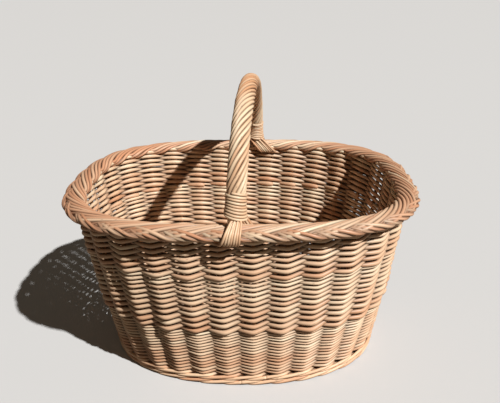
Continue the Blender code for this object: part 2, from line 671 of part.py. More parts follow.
def tie_rings(foot_share, lean, outer):
    """Rods side by side, over the border from the handle and under it to the wall."""
    swing = 0.5 * (BORDER_BREADTH - STRAND_BREADTH)
    strand_line = BORDER_OVERHANG + 0.5 * BOW_PEG_DIAMETER + 2.0 * CLEARANCE + STRAND_BREADTH
    reach = 0.5 * BORDER_BREADTH if outer else max(strand_line, swing + 0.5 * STRAND_BREADTH)
    room = 2.0 * CLEARANCE + 0.5 * TIE_THICKNESS
    half_width = reach + room
    half_height = 0.5 * BORDER_DEPTH + room
    way = 1.0 if outer else -1.0
    bow_edge = 0.5 * BOW_DIAMETER + CLEARANCE + TIE_FLUTE_DEPTH
    start = bow_edge - BORDER_OVERHANG if outer else bow_edge + BORDER_OVERHANG
    wall_face = 0.5 * STAKE_DIAMETER + UPPER_WEAVER_THICKNESS + TIE_WALL_GAP
    finish = wall_face - BORDER_OVERHANG if outer else wall_face + BORDER_OVERHANG
    exponent = 0.5 * TIE_HUG_POWER
    first = math.acos((max(start, 0.0) / half_width) ** exponent)
    last = -math.acos((max(finish, 0.0) / half_width) ** exponent)
    share = np.linspace(0.0, 1.0, TIE_STATIONS)
    angle = first + (last - first) * share
    cosine = np.maximum(np.cos(angle), 0.0)
    across = half_width * cosine ** (1.0 / exponent)
    rise = half_height * np.sign(np.sin(angle)) * np.abs(np.sin(angle)) ** (1.0 / exponent)
    path = np.column_stack((across, rise))
    tangent = directions(path)
    facing = np.column_stack((-tangent[:, 1], tangent[:, 0]))
    width = TIE_TOP_WIDTH + (TIE_END_WIDTH - TIE_TOP_WIDTH) * share
    spread = np.linspace(-0.5, 0.5, 2 * TIE_RODS + 1)
    crest = np.where(np.arange(2 * TIE_RODS + 1) % 2 == 0, -TIE_FLUTE_DEPTH, 0.0)
    along = np.concatenate((spread, spread[::-TIE_RODS]))
    depth = np.concatenate((0.5 * TIE_THICKNESS + crest, np.full(3, -0.5 * TIE_THICKNESS)))
    tangential = width[:, None] * along[None, :] - lean * share[:, None]
    outward = across[:, None] + facing[:, 0:1] * depth[None, :]
    heights = PLAIT_MIDDLE + rise[:, None] + facing[:, 1:2] * depth[None, :]
    return border_at(foot_share + tangential / PLAIT_LENGTH, way * outward, heights)


def build_ties(finishes):
    """An outer and an inner tie at each foot of the handle."""
    for side, foot_share, lean in zip(("front", "back"), FOOT_SHARES, TIE_LEANS):
        for place, outer in (("outer", True), ("inner", False)):
            name = f"{side}_{place}_tie"
            show(name, loft(name, tie_rings(foot_share, lean, outer)), finishes["wrap"])


def main():
    """Build the whole basket."""
    clear_scene()
    finishes = {
        "weave": make_finish("woven_willow", (0.62, 0.36, 0.17), 0.55),
        "stake": make_finish("stake_willow", (0.52, 0.30, 0.14), 0.6),
        "stick": make_finish("base_stick_willow", (0.50, 0.29, 0.13), 0.6),
        "border": make_finish("border_willow", (0.60, 0.37, 0.20), 0.5),
        "bow": make_finish("bow_wood", (0.45, 0.27, 0.12), 0.6),
        "wrap": make_finish("wrapped_willow", (0.66, 0.42, 0.20), 0.45),
    }
    weave = build_base(finishes)
    build_wall(finishes)
    build_stakes(finishes, weave)
    build_border(finishes)
    build_handle(finishes)
    build_bindings(finishes)
    build_ties(finishes)


main()
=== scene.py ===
"""Looks of an oval willow foraging basket with a roped cross handle.

Every rod of the real basket is swept along the route that a weaver gives it. Thirty-one stakes stand
on a base of crossed sticks. A wale of three rods holds them at the foot, three bands of French randing
fill the siding, and a plait of five strands, of three rods each, hides the tops. The handle's bow is
roped with rods, bound at both feet and tied down over the border. Lengths are in metres, with Z up.
"""

import logging
import math
from dataclasses import dataclass, field
from enum import Enum
from typing import Any, Sequence

import bpy
import numpy as np
from mathutils import Matrix, Vector

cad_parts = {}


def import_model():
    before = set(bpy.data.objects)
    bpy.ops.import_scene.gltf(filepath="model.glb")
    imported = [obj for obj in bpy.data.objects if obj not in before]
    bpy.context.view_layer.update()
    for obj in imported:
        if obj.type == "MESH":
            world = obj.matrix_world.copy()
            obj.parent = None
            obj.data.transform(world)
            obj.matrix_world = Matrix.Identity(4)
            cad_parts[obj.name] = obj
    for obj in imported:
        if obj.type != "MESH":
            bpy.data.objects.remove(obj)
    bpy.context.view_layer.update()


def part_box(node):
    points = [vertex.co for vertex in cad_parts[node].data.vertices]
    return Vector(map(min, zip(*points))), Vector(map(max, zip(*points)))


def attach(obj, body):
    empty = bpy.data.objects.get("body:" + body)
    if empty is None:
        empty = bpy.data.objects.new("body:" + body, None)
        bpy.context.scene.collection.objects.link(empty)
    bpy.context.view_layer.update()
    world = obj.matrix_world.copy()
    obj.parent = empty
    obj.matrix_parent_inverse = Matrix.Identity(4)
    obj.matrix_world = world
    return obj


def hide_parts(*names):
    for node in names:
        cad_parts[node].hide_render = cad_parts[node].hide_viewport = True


Colour = tuple[float, float, float, float]

LOG = logging.getLogger("basket")
BODY = "root"
FULL_TURN = 2.0 * math.pi
UP = np.array((0.0, 0.0, 1.0))
SHORTEST = 1e-12


def unit(vectors: np.ndarray) -> np.ndarray:
    """Vectors of length one, along the last axis."""
    return vectors / np.maximum(np.linalg.norm(vectors, axis=-1, keepdims=True), SHORTEST)


def clipped(values: Any) -> np.ndarray:
    """Values kept within 0 to 1."""
    return np.clip(values, 0.0, 1.0)


def blended(first: float, last: float, shares: np.ndarray) -> np.ndarray:
    """Values that run evenly from first to last as the shares run from 0 to 1."""
    return first + (last - first) * shares


def lengths_along(line: np.ndarray) -> np.ndarray:
    """Length travelled from a line's first point to each of its points."""
    steps = np.linalg.norm(np.diff(line, axis=-2), axis=-1)
    return np.concatenate((np.zeros(steps.shape[:-1] + (1,)), np.cumsum(steps, axis=-1)), axis=-1)


def read_off(wanted: np.ndarray, places: np.ndarray, line: np.ndarray) -> np.ndarray:
    """A line's points at wanted places, where its own points lie at the given places."""
    return np.stack([np.interp(wanted, places, column) for column in line.T], axis=-1)


def evened(line: np.ndarray, count: int) -> np.ndarray:
    """The same line with a number of evenly spaced points."""
    lengths = lengths_along(line)
    return read_off(np.linspace(0.0, lengths[-1], count), lengths, line)


def lifted(flat: np.ndarray, heights: Any) -> np.ndarray:
    """Flat points or directions, with heights as their third coordinate."""
    heights = np.broadcast_to(heights, flat.shape[:-1])
    return np.concatenate((flat, heights[..., None]), axis=-1)


def superellipse(half_sizes: tuple[float, float], directions: np.ndarray, power: float) -> np.ndarray:
    """Half sizes times the parts of flat directions, raised to two over the power with their signs kept."""
    return np.array(half_sizes) * np.sign(directions) * np.abs(directions) ** (2.0 / power)


def solid_boxes(name: str, count: int) -> np.ndarray:
    """Low and high corners of numbered solids, as solids by two by three."""
    return np.array([[tuple(corner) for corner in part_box(f"{name}_{number}")]
                     for number in range(1, count + 1)])


@dataclass(frozen=True)
class Sway:
    """How far rods wander, and over what longest wavelength, in the unit that their places have."""

    amount: float
    wavelength: float


class Wander:
    """Small smooth irregularities, the same on each run."""

    TONE_SHAPE = 2.2
    FARTHEST = 2.0
    SINES = ((1.0, 0.5), (0.43, 0.3), (0.21, 0.2))

    def __init__(self, seed: int) -> None:
        """Start the row of draws that a seed gives."""
        self.draws = np.random.default_rng(seed)

    def tones(self, count: int) -> np.ndarray:
        """A tone from 0 to 1 for each of several rods."""
        return self.draws.beta(self.TONE_SHAPE, self.TONE_SHAPE, count)

    def spread(self, count: int, amount: float) -> np.ndarray:
        """A size factor near 1 for each of several rods, as a column."""
        draws = np.clip(self.draws.standard_normal(count), -self.FARTHEST, self.FARTHEST)
        return (1.0 + amount * draws)[:, None]

    def waves(self, count: int, places: np.ndarray, sway: Sway) -> np.ndarray:
        """Slow wandering along each of several rods.

        Three sines of unlike wavelength and random phase are added up, and the sum stays within the
        sway's amount.

        Args:
            count: how many rods there are.
            places: where along the rods the value is wanted, one row for all rods or one for each.
            sway: how far and over what length they wander.

        Returns:
            One row of values for each rod.
        """
        total = np.zeros((count, np.shape(places)[-1]))
        for share, weight in self.SINES:
            phases = self.draws.uniform(0.0, FULL_TURN, (count, 1))
            total += weight * np.sin(FULL_TURN * places / (sway.wavelength * share) + phases)
        return sway.amount * total


# Plan and wall


@dataclass(frozen=True)
class Oval:
    """A superellipse seen from above, whose length is counted from -Y, counter-clockwise."""

    half_length: float
    half_width: float
    power: float
    samples: int = 2400

    @property
    def half_sizes(self) -> tuple[float, float]:
        """Half its sizes along X and Y."""
        return self.half_length, self.half_width

    def trace(self) -> tuple[np.ndarray, np.ndarray]:
        """Walk once round the oval.

        Returns:
            Flat points, and the length travelled at each of them.
        """
        turn = np.linspace(0.0, FULL_TURN, self.samples + 1)
        directions = np.stack((np.sin(turn), -np.cos(turn)), axis=-1)
        line = superellipse(self.half_sizes, directions, self.power)
        return line, lengths_along(line)

    def length(self) -> float:
        """Length once round."""
        return float(self.trace()[1][-1])

    def at(self, shares: np.ndarray) -> tuple[np.ndarray, np.ndarray]:
        """Points and outward normals.

        The normal is the gradient of the superellipse's equation, made one long.

        Args:
            shares: places round the oval, as shares of its length.

        Returns:
            Flat points and flat normals, each of the shape of shares with two columns more.
        """
        line, lengths = self.trace()
        points = read_off(np.mod(shares, 1.0) * lengths[-1], lengths, line)
        steep = np.abs(points / self.half_sizes) ** (self.power - 1.0)
        return points, unit(np.sign(points) * steep / self.half_sizes)


@dataclass(frozen=True)
class Plan:
    """The basket's plan, the wall's middle surface and where the stakes and the handle's feet stand.

    The back foot's shift is a share of the border's length, counter-clockwise.
    """

    border: Oval
    rim: Oval
    foot: Oval
    wall_top: float
    border_middle: float
    stake_count: int = 31
    bulge_share: float = 0.085
    back_foot_shift: float = 0.0026

    @property
    def stake_shares(self) -> np.ndarray:
        """Perimeter shares of the stakes."""
        return (np.arange(self.stake_count) + 0.5) / self.stake_count

    @property
    def foot_shares(self) -> np.ndarray:
        """Perimeter shares of the handle's feet, one in the front gap and one in a gap at the back."""
        return np.array((0.0, self.stake_count // 2 / self.stake_count + self.back_foot_shift))

    def wall(self, shares: Any, heights: Any, outward: Any = 0.0) -> tuple[np.ndarray, np.ndarray]:
        """Points over the wall's middle surface.

        The plan at a height is the foot's oval moved towards the rim's by a flare, which is the height
        as a share of the wall plus a parabola that gives the wall its bulge.

        Args:
            shares: perimeter shares.
            heights: heights over the floor, of the same shape.
            outward: how far the points lie outside the middle surface.

        Returns:
            The points and the outward normals, which are level.
        """
        shares, heights = np.broadcast_arrays(np.asarray(shares, float), np.asarray(heights, float))
        rise = clipped(heights / self.wall_top)
        flare = (rise + 4.0 * self.bulge_share * rise * (1.0 - rise))[..., None]
        low, low_normal = self.foot.at(shares)
        high, high_normal = self.rim.at(shares)
        normals = unit(blended(low_normal, high_normal, flare))
        flat = blended(low, high, flare) + normals * np.broadcast_to(outward, shares.shape)[..., None]
        return lifted(flat, heights), lifted(normals, 0.0)

    def over_border(self, shares: np.ndarray, outward: np.ndarray, heights: np.ndarray) -> np.ndarray:
        """Points round the plait's middle line, set outward from it and at given heights."""
        points, normals = self.border.at(shares)
        return lifted(points + normals * outward[..., None], heights)


# Materials


class Value:
    """A socket that Python's operators can reckon with."""

    def __init__(self, tree: "Tree", socket: bpy.types.NodeSocket) -> None:
        """Wrap an output socket of a tree."""
        self.tree = tree
        self.socket = socket

    def _math(self, operation: str, *operands: Any, clamp: bool = False) -> "Value":
        """A Math node over values and numbers."""
        settings = {"operation": operation, "use_clamp": clamp}
        return self.tree.add("ShaderNodeMath", settings, dict(enumerate(operands)))

    def __add__(self, other: Any) -> "Value":
        """Sum."""
        return self._math("ADD", self, other)

    def __sub__(self, other: Any) -> "Value":
        """Difference."""
        return self._math("SUBTRACT", self, other)

    def __rsub__(self, other: Any) -> "Value":
        """Difference, with the socket on the right."""
        return self._math("SUBTRACT", other, self)

    def __mul__(self, other: Any) -> "Value":
        """Product."""
        return self._math("MULTIPLY", self, other)

    __radd__ = __add__
    __rmul__ = __mul__

    def ramp(self, low: float, high: float) -> "Value":
        """Rise smoothly from 0 at low to 1 at high."""
        settings = {"interpolation_type": "SMOOTHSTEP"}
        return self.tree.add("ShaderNodeMapRange", settings, {0: self, 1: low, 2: high, 3: 0.0, 4: 1.0})

    def clamped(self) -> "Value":
        """The value kept within 0 to 1."""
        return self._math("ADD", self, 0.0, clamp=True)


class Tree:
    """The nodes of a material or of the world."""

    NOISE_ROUGHNESS = 0.55

    def __init__(self, owner: Any, shader: str = "Principled BSDF") -> None:
        """Open the nodes.

        Args:
            owner: the material or world.
            shader: the name of its shader node.
        """
        owner.use_nodes = True
        self.owner = owner
        self.nodes = owner.node_tree.nodes
        self.links = owner.node_tree.links
        self.shader = self.nodes[shader]

    def feed(self, node: bpy.types.Node, inputs: dict[Any, Any]) -> None:
        """Link values to a node's sockets, and set numbers and colours on them.

        Args:
            node: the node.
            inputs: numbers, colours or values for its sockets, by place or name.
        """
        for place, given in inputs.items():
            if isinstance(given, Value):
                self.links.new(given.socket, node.inputs[place])
            else:
                node.inputs[place].default_value = given

    def add(self, kind: str, settings: dict[str, Any], inputs: dict[Any, Any], output: Any = 0) -> Value:
        """Add a node.

        Args:
            kind: the node's type.
            settings: its properties, which are set first.
            inputs: numbers, colours or values for its sockets, by place or name.
            output: the place or name of the output that is wanted.

        Returns:
            That output.
        """
        node = self.nodes.new(kind)
        for name, setting in settings.items():
            setattr(node, name, setting)
        self.feed(node, inputs)
        return Value(self, node.outputs[output])

    def attribute(self, name: str, output: str = "Fac") -> Value:
        """One of the mesh's own attributes."""
        return self.add("ShaderNodeAttribute", {"attribute_name": name}, {}, output)

    def cells(self, grain: Value, length: float, width: float) -> Value:
        """A place on a rod, counted in cells that are so long along the rod and so wide round it."""
        scales = (1.0 / length, 1.0 / width, 1.0 / width)
        return self.add("ShaderNodeVectorMath", {"operation": "MULTIPLY"}, {0: grain, 1: scales})

    def noise(self, vector: Value, detail: float) -> Value:
        """Noise of about one feature a unit, from 0 to 1."""
        sockets = {"Vector": vector, "Scale": 1.0, "Detail": detail, "Roughness": self.NOISE_ROUGHNESS}
        return self.add("ShaderNodeTexNoise", {}, sockets, "Fac")

    def mixed(self, factor: Any, first: Any, second: Any) -> Value:
        """A colour mixed from two others, through the places of a Mix node's colour sockets."""
        return self.add("ShaderNodeMix", {"data_type": "RGBA"}, {0: factor, 6: first, 7: second}, 2)


def colour(red: float, green: float, blue: float) -> Colour:
    """A linear colour from screen values.

    Args:
        red: its red, from 0 to 255.
        green: its green, likewise.
        blue: its blue, likewise.

    Returns:
        The colour by the standard screen curve, with an alpha of 1.
    """
    screen = np.array((red, green, blue)) / 255.0
    linear = np.where(screen <= 0.04045, screen / 12.92, ((screen + 0.055) / 1.055) ** 2.4)
    return (float(linear[0]), float(linear[1]), float(linear[2]), 1.0)


@dataclass(frozen=True)
class WillowFinish:
    """Boiled and peeled willow under a thin satin varnish.

    Each rod has its own tone, streaks run along it, it has painted shade where it lies between others,
    and it has small bud scars. Across the rod a pattern is measured in metres round its middle line.
    """

    name: str
    dark: Colour
    light: Colour
    scar_and_shade_colour: Colour
    painted_shade_share: float = 0.86
    roughness: float = 0.44
    streak_roughness: float = 0.16
    painted_shade_roughness: float = 0.2
    coat_weight: float = 0.16
    coat_roughness: float = 0.28
    tone_weight: float = 0.66
    tone_offset: float = 0.20
    streak_length: float = 0.030
    streak_width: float = 0.0009
    streak_detail: float = 3.0
    streak_weight: float = 0.42
    drift_length: float = 0.110
    drift_width: float = 0.012
    drift_detail: float = 1.0
    drift_weight: float = 0.50
    scar_spacing: float = 0.016
    scar_width: float = 0.0034
    scar_core: float = 0.05
    scar_edge: float = 0.16
    scar_share: float = 0.55
    scar_depth_share: float = 0.6
    fibre_height: float = 0.00022
    bump_strength: float = 0.5

    def build(self) -> bpy.types.Material:
        """Build the nodes.

        The place between the dark and the light colour is the weighted sum of the rod's tone, a slow
        drift and the streaks, less an offset. Scars, and painted shade where the rod lies between others,
        then darken the wood. The bump is the streaks less the scars.

        Returns:
            The material.
        """
        tree = Tree(bpy.data.materials.new(self.name))
        grain = tree.attribute("grain", "Vector")
        tone = tree.attribute("tone")
        painted_shade = tree.attribute("painted_shade")
        streaks = tree.noise(tree.cells(grain, self.streak_length, self.streak_width), self.streak_detail)
        drift = tree.noise(tree.cells(grain, self.drift_length, self.drift_width), self.drift_detail)
        scar_cells = tree.cells(grain, self.scar_spacing, self.scar_width)
        sockets = {"Vector": scar_cells, "Scale": 1.0, "Randomness": 1.0}
        spots = tree.add("ShaderNodeTexVoronoi", {"feature": "F1"}, sockets, "Distance")
        scars = 1.0 - spots.ramp(self.scar_core, self.scar_edge)
        mix = self.tone_weight * tone + self.drift_weight * drift + self.streak_weight * streaks
        wood = tree.mixed((mix - self.tone_offset).clamped(), self.dark, self.light)
        # Bud scars, in the same dark brown as the painted shade.
        wood = tree.mixed(self.scar_share * scars, wood, self.scar_and_shade_colour)
        # Painted shade: the wood goes towards that dark brown where the rod lies hidden between others.
        wood = tree.mixed(self.painted_shade_share * painted_shade, wood, self.scar_and_shade_colour)
        roughness = self.roughness + self.streak_roughness * streaks + self.painted_shade_roughness * painted_shade
        height = streaks - self.scar_depth_share * scars
        fibre = {"Height": height, "Strength": self.bump_strength, "Distance": self.fibre_height}
        tree.feed(tree.shader, {
            "Base Color": wood,
            "Roughness": roughness,
            "Normal": tree.add("ShaderNodeBump", {}, fibre, "Normal"),
            "Coat Weight": self.coat_weight,
            "Coat Roughness": self.coat_roughness,
        })
        return tree.owner


class Rod(Enum):
    """What a rod does in the basket, with the name of its finish and of its slot in the record."""

    SIDING = ("siding_willow", "weaving_rod")
    WALE = ("wale_willow", "weaving_rod")
    STAKE = ("stake_willow", "stake")
    STICK = ("stick_willow", "base_stick")
    BORDER = ("border_willow", "border_rod")
    BOW = ("bow_willow", "handle_bow")
    ROPE = ("rope_willow", "handle_rod")

    @property
    def finish_name(self) -> str:
        """The material's name."""
        return self.value[0]

    @property
    def slot(self) -> str:
        """The record's slot."""
        return self.value[1]


def willow_finishes() -> dict[Rod, bpy.types.Material]:
    """Build every willow finish once.

    Returns:
        The material of each use of a rod.
    """
    # Dark brown of the bud scars and of the painted shade between rods.
    shade = colour(52, 26, 12)
    tones = {
        Rod.SIDING: ((202, 124, 70), (251, 230, 196)),
        Rod.WALE: ((200, 122, 74), (250, 218, 180)),
        Rod.STAKE: ((176, 112, 66), (216, 166, 114)),
        Rod.STICK: ((190, 126, 80), (232, 190, 142)),
        Rod.BORDER: ((200, 123, 78), (254, 230, 194)),
        Rod.BOW: ((160, 100, 58), (200, 150, 100)),
        Rod.ROPE: ((208, 134, 78), (250, 226, 190)),
    }
    return {use: WillowFinish(use.finish_name, colour(*dark), colour(*light), shade).build()
            for use, (dark, light) in tones.items()}


# Rods


def ended(columns: np.ndarray, factor: float = 1.0) -> np.ndarray:
    """Rods' values with the first and last ones repeated, times a factor."""
    return np.concatenate((factor * columns[:, :1], columns, factor * columns[:, -1:]), axis=1)


@dataclass
class RodBundle:
    """Round rods of one piece, swept together into one mesh.

    The grain of each rod starts a step further along than the last one's, so that no two look alike.
    """

    name: str
    sides: int = 8
    end_bevel: float = 0.0005
    end_share: float = 0.8
    grain_step: float = 0.713
    # Painted shade deep in a wall: its strength, and the power of how near a point lies to the middle.
    buried_darkness: float = 1.45
    buried_power: float = 1.35
    parts: list[tuple[Any, ...]] = field(default_factory=list)

    def lay(
        self,
        paths: np.ndarray,
        lateral: np.ndarray,
        half_wide: Any,
        half_tall: Any,
        tones: Any,
        painted_shade: Any = 0.0,
        contact: float = 0.0,
        closed: bool = False,
        depth: Any = None,
        crossing: float = 0.0,
    ) -> None:
        """Add rods that have equally many points.

        A ring of points stands round each point of a path. It lies at the path's point, plus its half
        width times the cosine along the lateral direction, plus its half height times the sine along
        the direction square to that and to the path. Each point gets painted shade, added up from the
        rod's own painted shade, the cube of that sine where neighbours touch, and in a wall a power of
        how near it lies to the wall's middle, and the square of how near the rod does.

        Args:
            paths: middle lines, as rods by points by three.
            lateral: the direction in which a section's width lies, in the same form.
            half_wide: half width of the section, as a number or as rods by points.
            half_tall: half height of the section, likewise.
            tones: the tone of each rod, or of each rod at each point.
            painted_shade: painted shade for each point hidden between others, from 0 to 1.
            contact: painted shade on a section's upper and lower sides, where it touches its neighbours.
            closed: whether each path runs back into its own start.
            depth: for a rod in the wall, how far outside the wall's middle each point lies.
            crossing: painted shade on such a rod where it crosses the wall's middle.
        """
        count, points = paths.shape[:2]
        tones = np.asarray(tones, float)
        tone = np.broadcast_to(tones if tones.ndim == 2 else tones[:, None], (count, points))
        measures = (half_wide, half_tall, painted_shade)
        wide, tall, hidden = (np.broadcast_to(given, tone.shape) for given in measures)
        if closed:
            tangent = unit(np.roll(paths, -1, axis=1) - np.roll(paths, 1, axis=1))
        else:
            tangent = unit(np.gradient(paths, axis=1))
            bevel = self.end_bevel * tangent
            longer = (paths[:, :1] - bevel[:, :1], paths, paths[:, -1:] + bevel[:, -1:])
            paths = np.concatenate(longer, axis=1)
            tangent, lateral, hidden, tone = (ended(given) for given in (tangent, lateral, hidden, tone))
            wide, tall = (ended(given, self.end_share) for given in (wide, tall))
            depth = None if depth is None else ended(depth)
        across = unit(lateral - tangent * np.sum(lateral * tangent, axis=-1, keepdims=True))
        upward = np.cross(tangent, across)
        turn = FULL_TURN * np.arange(self.sides) / self.sides
        around = wide[..., None] * np.cos(turn)
        rising = tall[..., None] * np.sin(turn)
        rings = paths[:, :, None] + around[..., None] * across[:, :, None]
        rings = rings + rising[..., None] * upward[:, :, None]
        along = lengths_along(paths)
        starts = self.grain_step * np.arange(1, count + 1) + along.sum()
        starts = np.broadcast_to(starts[:, None, None], around.shape)
        grain = np.stack((along[..., None] + starts, around + starts, rising), axis=-1)
        # Painted shade: the rod's own, the grooves where neighbours touch, and the hollows deep in a wall.
        shade = hidden[..., None] + contact * np.abs(np.sin(turn)) ** 3
        if depth is not None:
            buried = 1.0 - np.abs(depth[..., None] + around) / (np.abs(depth) + wide)[..., None]
            middle = 1.0 - np.abs(depth) / np.abs(depth).max()
            shade = shade + self.buried_darkness * buried**self.buried_power
            shade = shade + crossing * middle[..., None] ** 2
        tone = np.broadcast_to(tone[..., None], around.shape)
        self.parts.append((rings, grain, tone, clipped(shade), closed))

    def mesh(self) -> bpy.types.Mesh:
        """Join what was laid into a mesh with its grain, tone and painted shade attributes.

        Faces join each ring to the next one. A rod that isn't closed has an end face at both ends.

        Returns:
            The mesh, shaded smooth but for the rods' ends.
        """
        quads = []
        caps = [np.zeros((0, self.sides), int)]
        start = 0
        for rings, _, _, _, closed in self.parts:
            count, points, sides, _ = rings.shape
            places = start + np.arange(count * points * sides).reshape(count, points, sides)
            following = np.roll(places, -1, axis=1) if closed else places[:, 1:]
            current = places if closed else places[:, :-1]
            corners = (current, np.roll(current, -1, axis=2), np.roll(following, -1, axis=2), following)
            quads.append(np.stack(corners, axis=-1).reshape(-1, 4))
            if not closed:
                caps.extend((places[:, 0, ::-1], places[:, -1]))
            start += count * points * sides
        quads = np.concatenate(quads)
        caps = np.concatenate(caps)
        *columns, _ = zip(*self.parts)
        rings, grain, tone, painted_shade = (
            np.concatenate([given.ravel() for given in column]).astype(np.float32) for column in columns
        )
        mesh = bpy.data.meshes.new(self.name)
        mesh.vertices.add(start)
        mesh.vertices.foreach_set("co", rings)
        loops = np.concatenate((quads.ravel(), caps.ravel()))
        mesh.loops.add(len(loops))
        mesh.loops.foreach_set("vertex_index", loops.astype(np.int32))
        sizes = np.concatenate((np.full(len(quads), 4), np.full(len(caps), self.sides)))
        firsts = np.concatenate(([0], np.cumsum(sizes)[:-1]))
        mesh.polygons.add(len(sizes))
        mesh.polygons.foreach_set("loop_start", firsts.astype(np.int32))
        mesh.update(calc_edges=True)
        mesh.polygons.foreach_set("use_smooth", np.arange(len(sizes)) < len(quads))
        mesh.attributes.new("grain", "FLOAT_VECTOR", "POINT")
        mesh.attributes["grain"].data.foreach_set("vector", grain)
        for name, column in (("tone", tone), ("painted_shade", painted_shade)):
            mesh.attributes.new(name, "FLOAT", "POINT")
            mesh.attributes[name].data.foreach_set("value", column)
        mesh.validate()
        return mesh


@dataclass
class Workshop:
    """Puts finished pieces into the scene."""

    finishes: dict[Rod, bpy.types.Material]

    def place(self, bundle: RodBundle, use: Rod, replaced: Sequence[str]) -> None:
        """Make a bundle a piece of the basket.

        Args:
            bundle: the rods.
            use: what they do, which gives their finish.
            replaced: the solids that the piece stands for.
        """
        mesh = bundle.mesh()
        mesh.materials.append(self.finishes[use])
        piece = bpy.data.objects.new(bundle.name, mesh)
        bpy.context.scene.collection.objects.link(piece)
        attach(piece, BODY)
        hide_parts(*replaced)
        LOG.info("%s: %d faces, stands for %d solids", bundle.name, len(mesh.polygons), len(replaced))


# Siding


@dataclass(frozen=True)
class Band:
    """One band of French randing, with the spacing of its rows at its foot and at its top."""

    name: str
    node: str
    bottom: float
    top: float
    first_spacing: float
    last_spacing: float
    seed: int


@dataclass
class Siding:
    """The bands of the wall, in each of which a rod starts from every gap and climbs a row a stake."""

    plan: Plan
    workshop: Workshop
    stake_radius: float
    bands: tuple[Band, ...]
    points_per_gap: int = 12
    width_share: float = 0.58
    height_share: float = 0.58
    swell_share: float = 0.12
    swell_power: float = 0.6
    inner_swell_share: float = 0.24
    bend_sharpness: float = 0.96
    inner_rise_share: float = 1.10
    paler_tip_share: float = 0.40
    slack: float = 0.0004
    butt_share: float = 0.16
    tip_share: float = 0.24
    thickness_spread: float = 0.05
    crossing_darkness: float = 0.30
    outward_sway: Sway = Sway(0.0004, 5.0)
    height_sway: Sway = Sway(0.13, 7.0)

    def weave(self, band: Band) -> RodBundle:
        """Weave one band.

        A rod runs straight from stake to stake and bends round them: its distance from the wall's middle
        is the arcsine of a shortened cosine, outermost at one stake and innermost at the next. Its height
        grows by one rod's thickness a stake, and it lies a share of that higher inside than outside. The
        thickness falls evenly from the butt to the tip. The rod is as tall as one row in the gap, where
        its neighbours cross it, and taller towards the stakes by a power of that wave.

        Args:
            band: the band's sizes.

        Returns:
            The band's rods.
        """
        count = self.plan.stake_count
        height = band.top - band.bottom
        spacing = 0.5 * (band.first_spacing + band.last_spacing)
        visits = 2 * round(height / spacing)
        fit = 2.0 * height / (visits * spacing)
        first = 0.5 * fit * band.first_spacing
        last = 0.5 * fit * band.last_spacing
        steps = int(round((visits + self.butt_share + self.tip_share) * self.points_per_gap))
        place = np.linspace(-1.0 - self.butt_share, visits - 1.0 + self.tip_share, steps + 1)
        climbed = (place + 1.0) / visits
        thickness = blended(first, last, clipped(climbed))
        heights = band.bottom + 0.5 * first + visits * (first * climbed + 0.5 * (last - first) * climbed**2)
        wander = Wander(band.seed)
        thick = wander.spread(count, self.thickness_spread) * thickness
        rod_shares = (np.arange(count)[:, None] + place + 0.5) / count
        wave = np.arcsin(self.bend_sharpness * np.cos(math.pi * place)) / math.asin(self.bend_sharpness)
        half_wide = self.width_share * thick
        reach = self.stake_radius + half_wide + self.slack
        outward = reach * wave + wander.waves(count, place, self.outward_sway)
        swell = 1.0 + self.swell_share * np.abs(wave) ** self.swell_power
        swell = swell + self.inner_swell_share * np.maximum(-wave, 0.0)
        half_tall = self.height_share * thick * swell
        heights = heights + thickness * wander.waves(count, place, self.height_sway)
        heights = heights + self.inner_rise_share * thickness * 0.5 * (1.0 - wave)
        tones = blended(wander.tones(count)[:, None], clipped(climbed), self.paler_tip_share)
        points, normals = self.plan.wall(rod_shares, heights, outward)
        bundle = RodBundle(band.name)
        # Painted shade where the rod lies deep in the wall, and where it crosses the wall's middle.
        crossing = self.crossing_darkness
        bundle.lay(points, normals, half_wide, half_tall, tones, depth=outward, crossing=crossing)
        return bundle

    def build(self) -> None:
        """Weave every band."""
        for band in self.bands:
            self.workshop.place(self.weave(band), Rod.SIDING, (band.node,))


# Wale


@dataclass
class Wale:
    """Rows of three-rod wale at the foot: each rod passes in front of two stakes and behind one."""

    plan: Plan
    workshop: Workshop
    stake_radius: float
    top: float
    rows: int = 2
    rod_diameter: float = 0.0048
    floor_gap: float = 0.0002
    points_per_gap: int = 10
    period: int = 3
    row_overlap: float = 1.45
    swing_sharpness: float = 2.2
    outward_bias: float = 0.35
    painted_shade: float = 0.5
    behind_stake_painted_shade: float = 0.8
    thickness_spread: float = 0.03
    thickness_sway: Sway = Sway(0.05, 17.0)
    seed: int = 11

    def build(self) -> None:
        """Weave the rows.

        A row's three rods follow each other through one line that goes round three times. In each
        period of three stakes it lies outside for two of them, and rises there along half a cosine,
        then drops back on the inside along another.
        """
        bundle = RodBundle("foot_wale")
        wander = Wander(self.seed)
        count = self.plan.stake_count
        row_height = (self.top - self.floor_gap) / self.rows
        tilt = 0.5 * row_height / self.row_overlap
        lap = np.linspace(0.0, count, count * self.points_per_gap + 1)
        for row in range(self.rows):
            stakes = lap[None, :] + np.arange(self.period)[:, None] * count + row
            phase = np.mod(stakes, self.period)
            turned = np.cos(FULL_TURN * (phase - 1.0) / self.period)
            swing = np.tanh(self.swing_sharpness * (turned + self.outward_bias))
            rise = np.where(phase < 2.0, -np.cos(0.5 * math.pi * phase), np.cos(math.pi * (phase - 2.0)))
            thick = self.rod_diameter * wander.spread(self.period, self.thickness_spread)
            thick = thick * (1.0 + wander.waves(self.period, stakes[:1], self.thickness_sway))
            heights = self.floor_gap + (row + 0.5) * row_height + tilt * rise
            heights = np.maximum(heights, 0.5 * thick + self.floor_gap)
            outward = swing * (self.stake_radius + 0.5 * thick)
            points, normals = self.plan.wall(stakes / count, heights, outward)
            # Painted shade on the stretches that run behind a stake.
            painted_shade = clipped(self.painted_shade - self.behind_stake_painted_shade * swing)
            bundle.lay(points, normals, 0.5 * thick, 0.5 * thick, wander.tones(self.period), painted_shade)
        self.workshop.place(bundle, Rod.WALE, ("upsett_wale",))


# Stakes


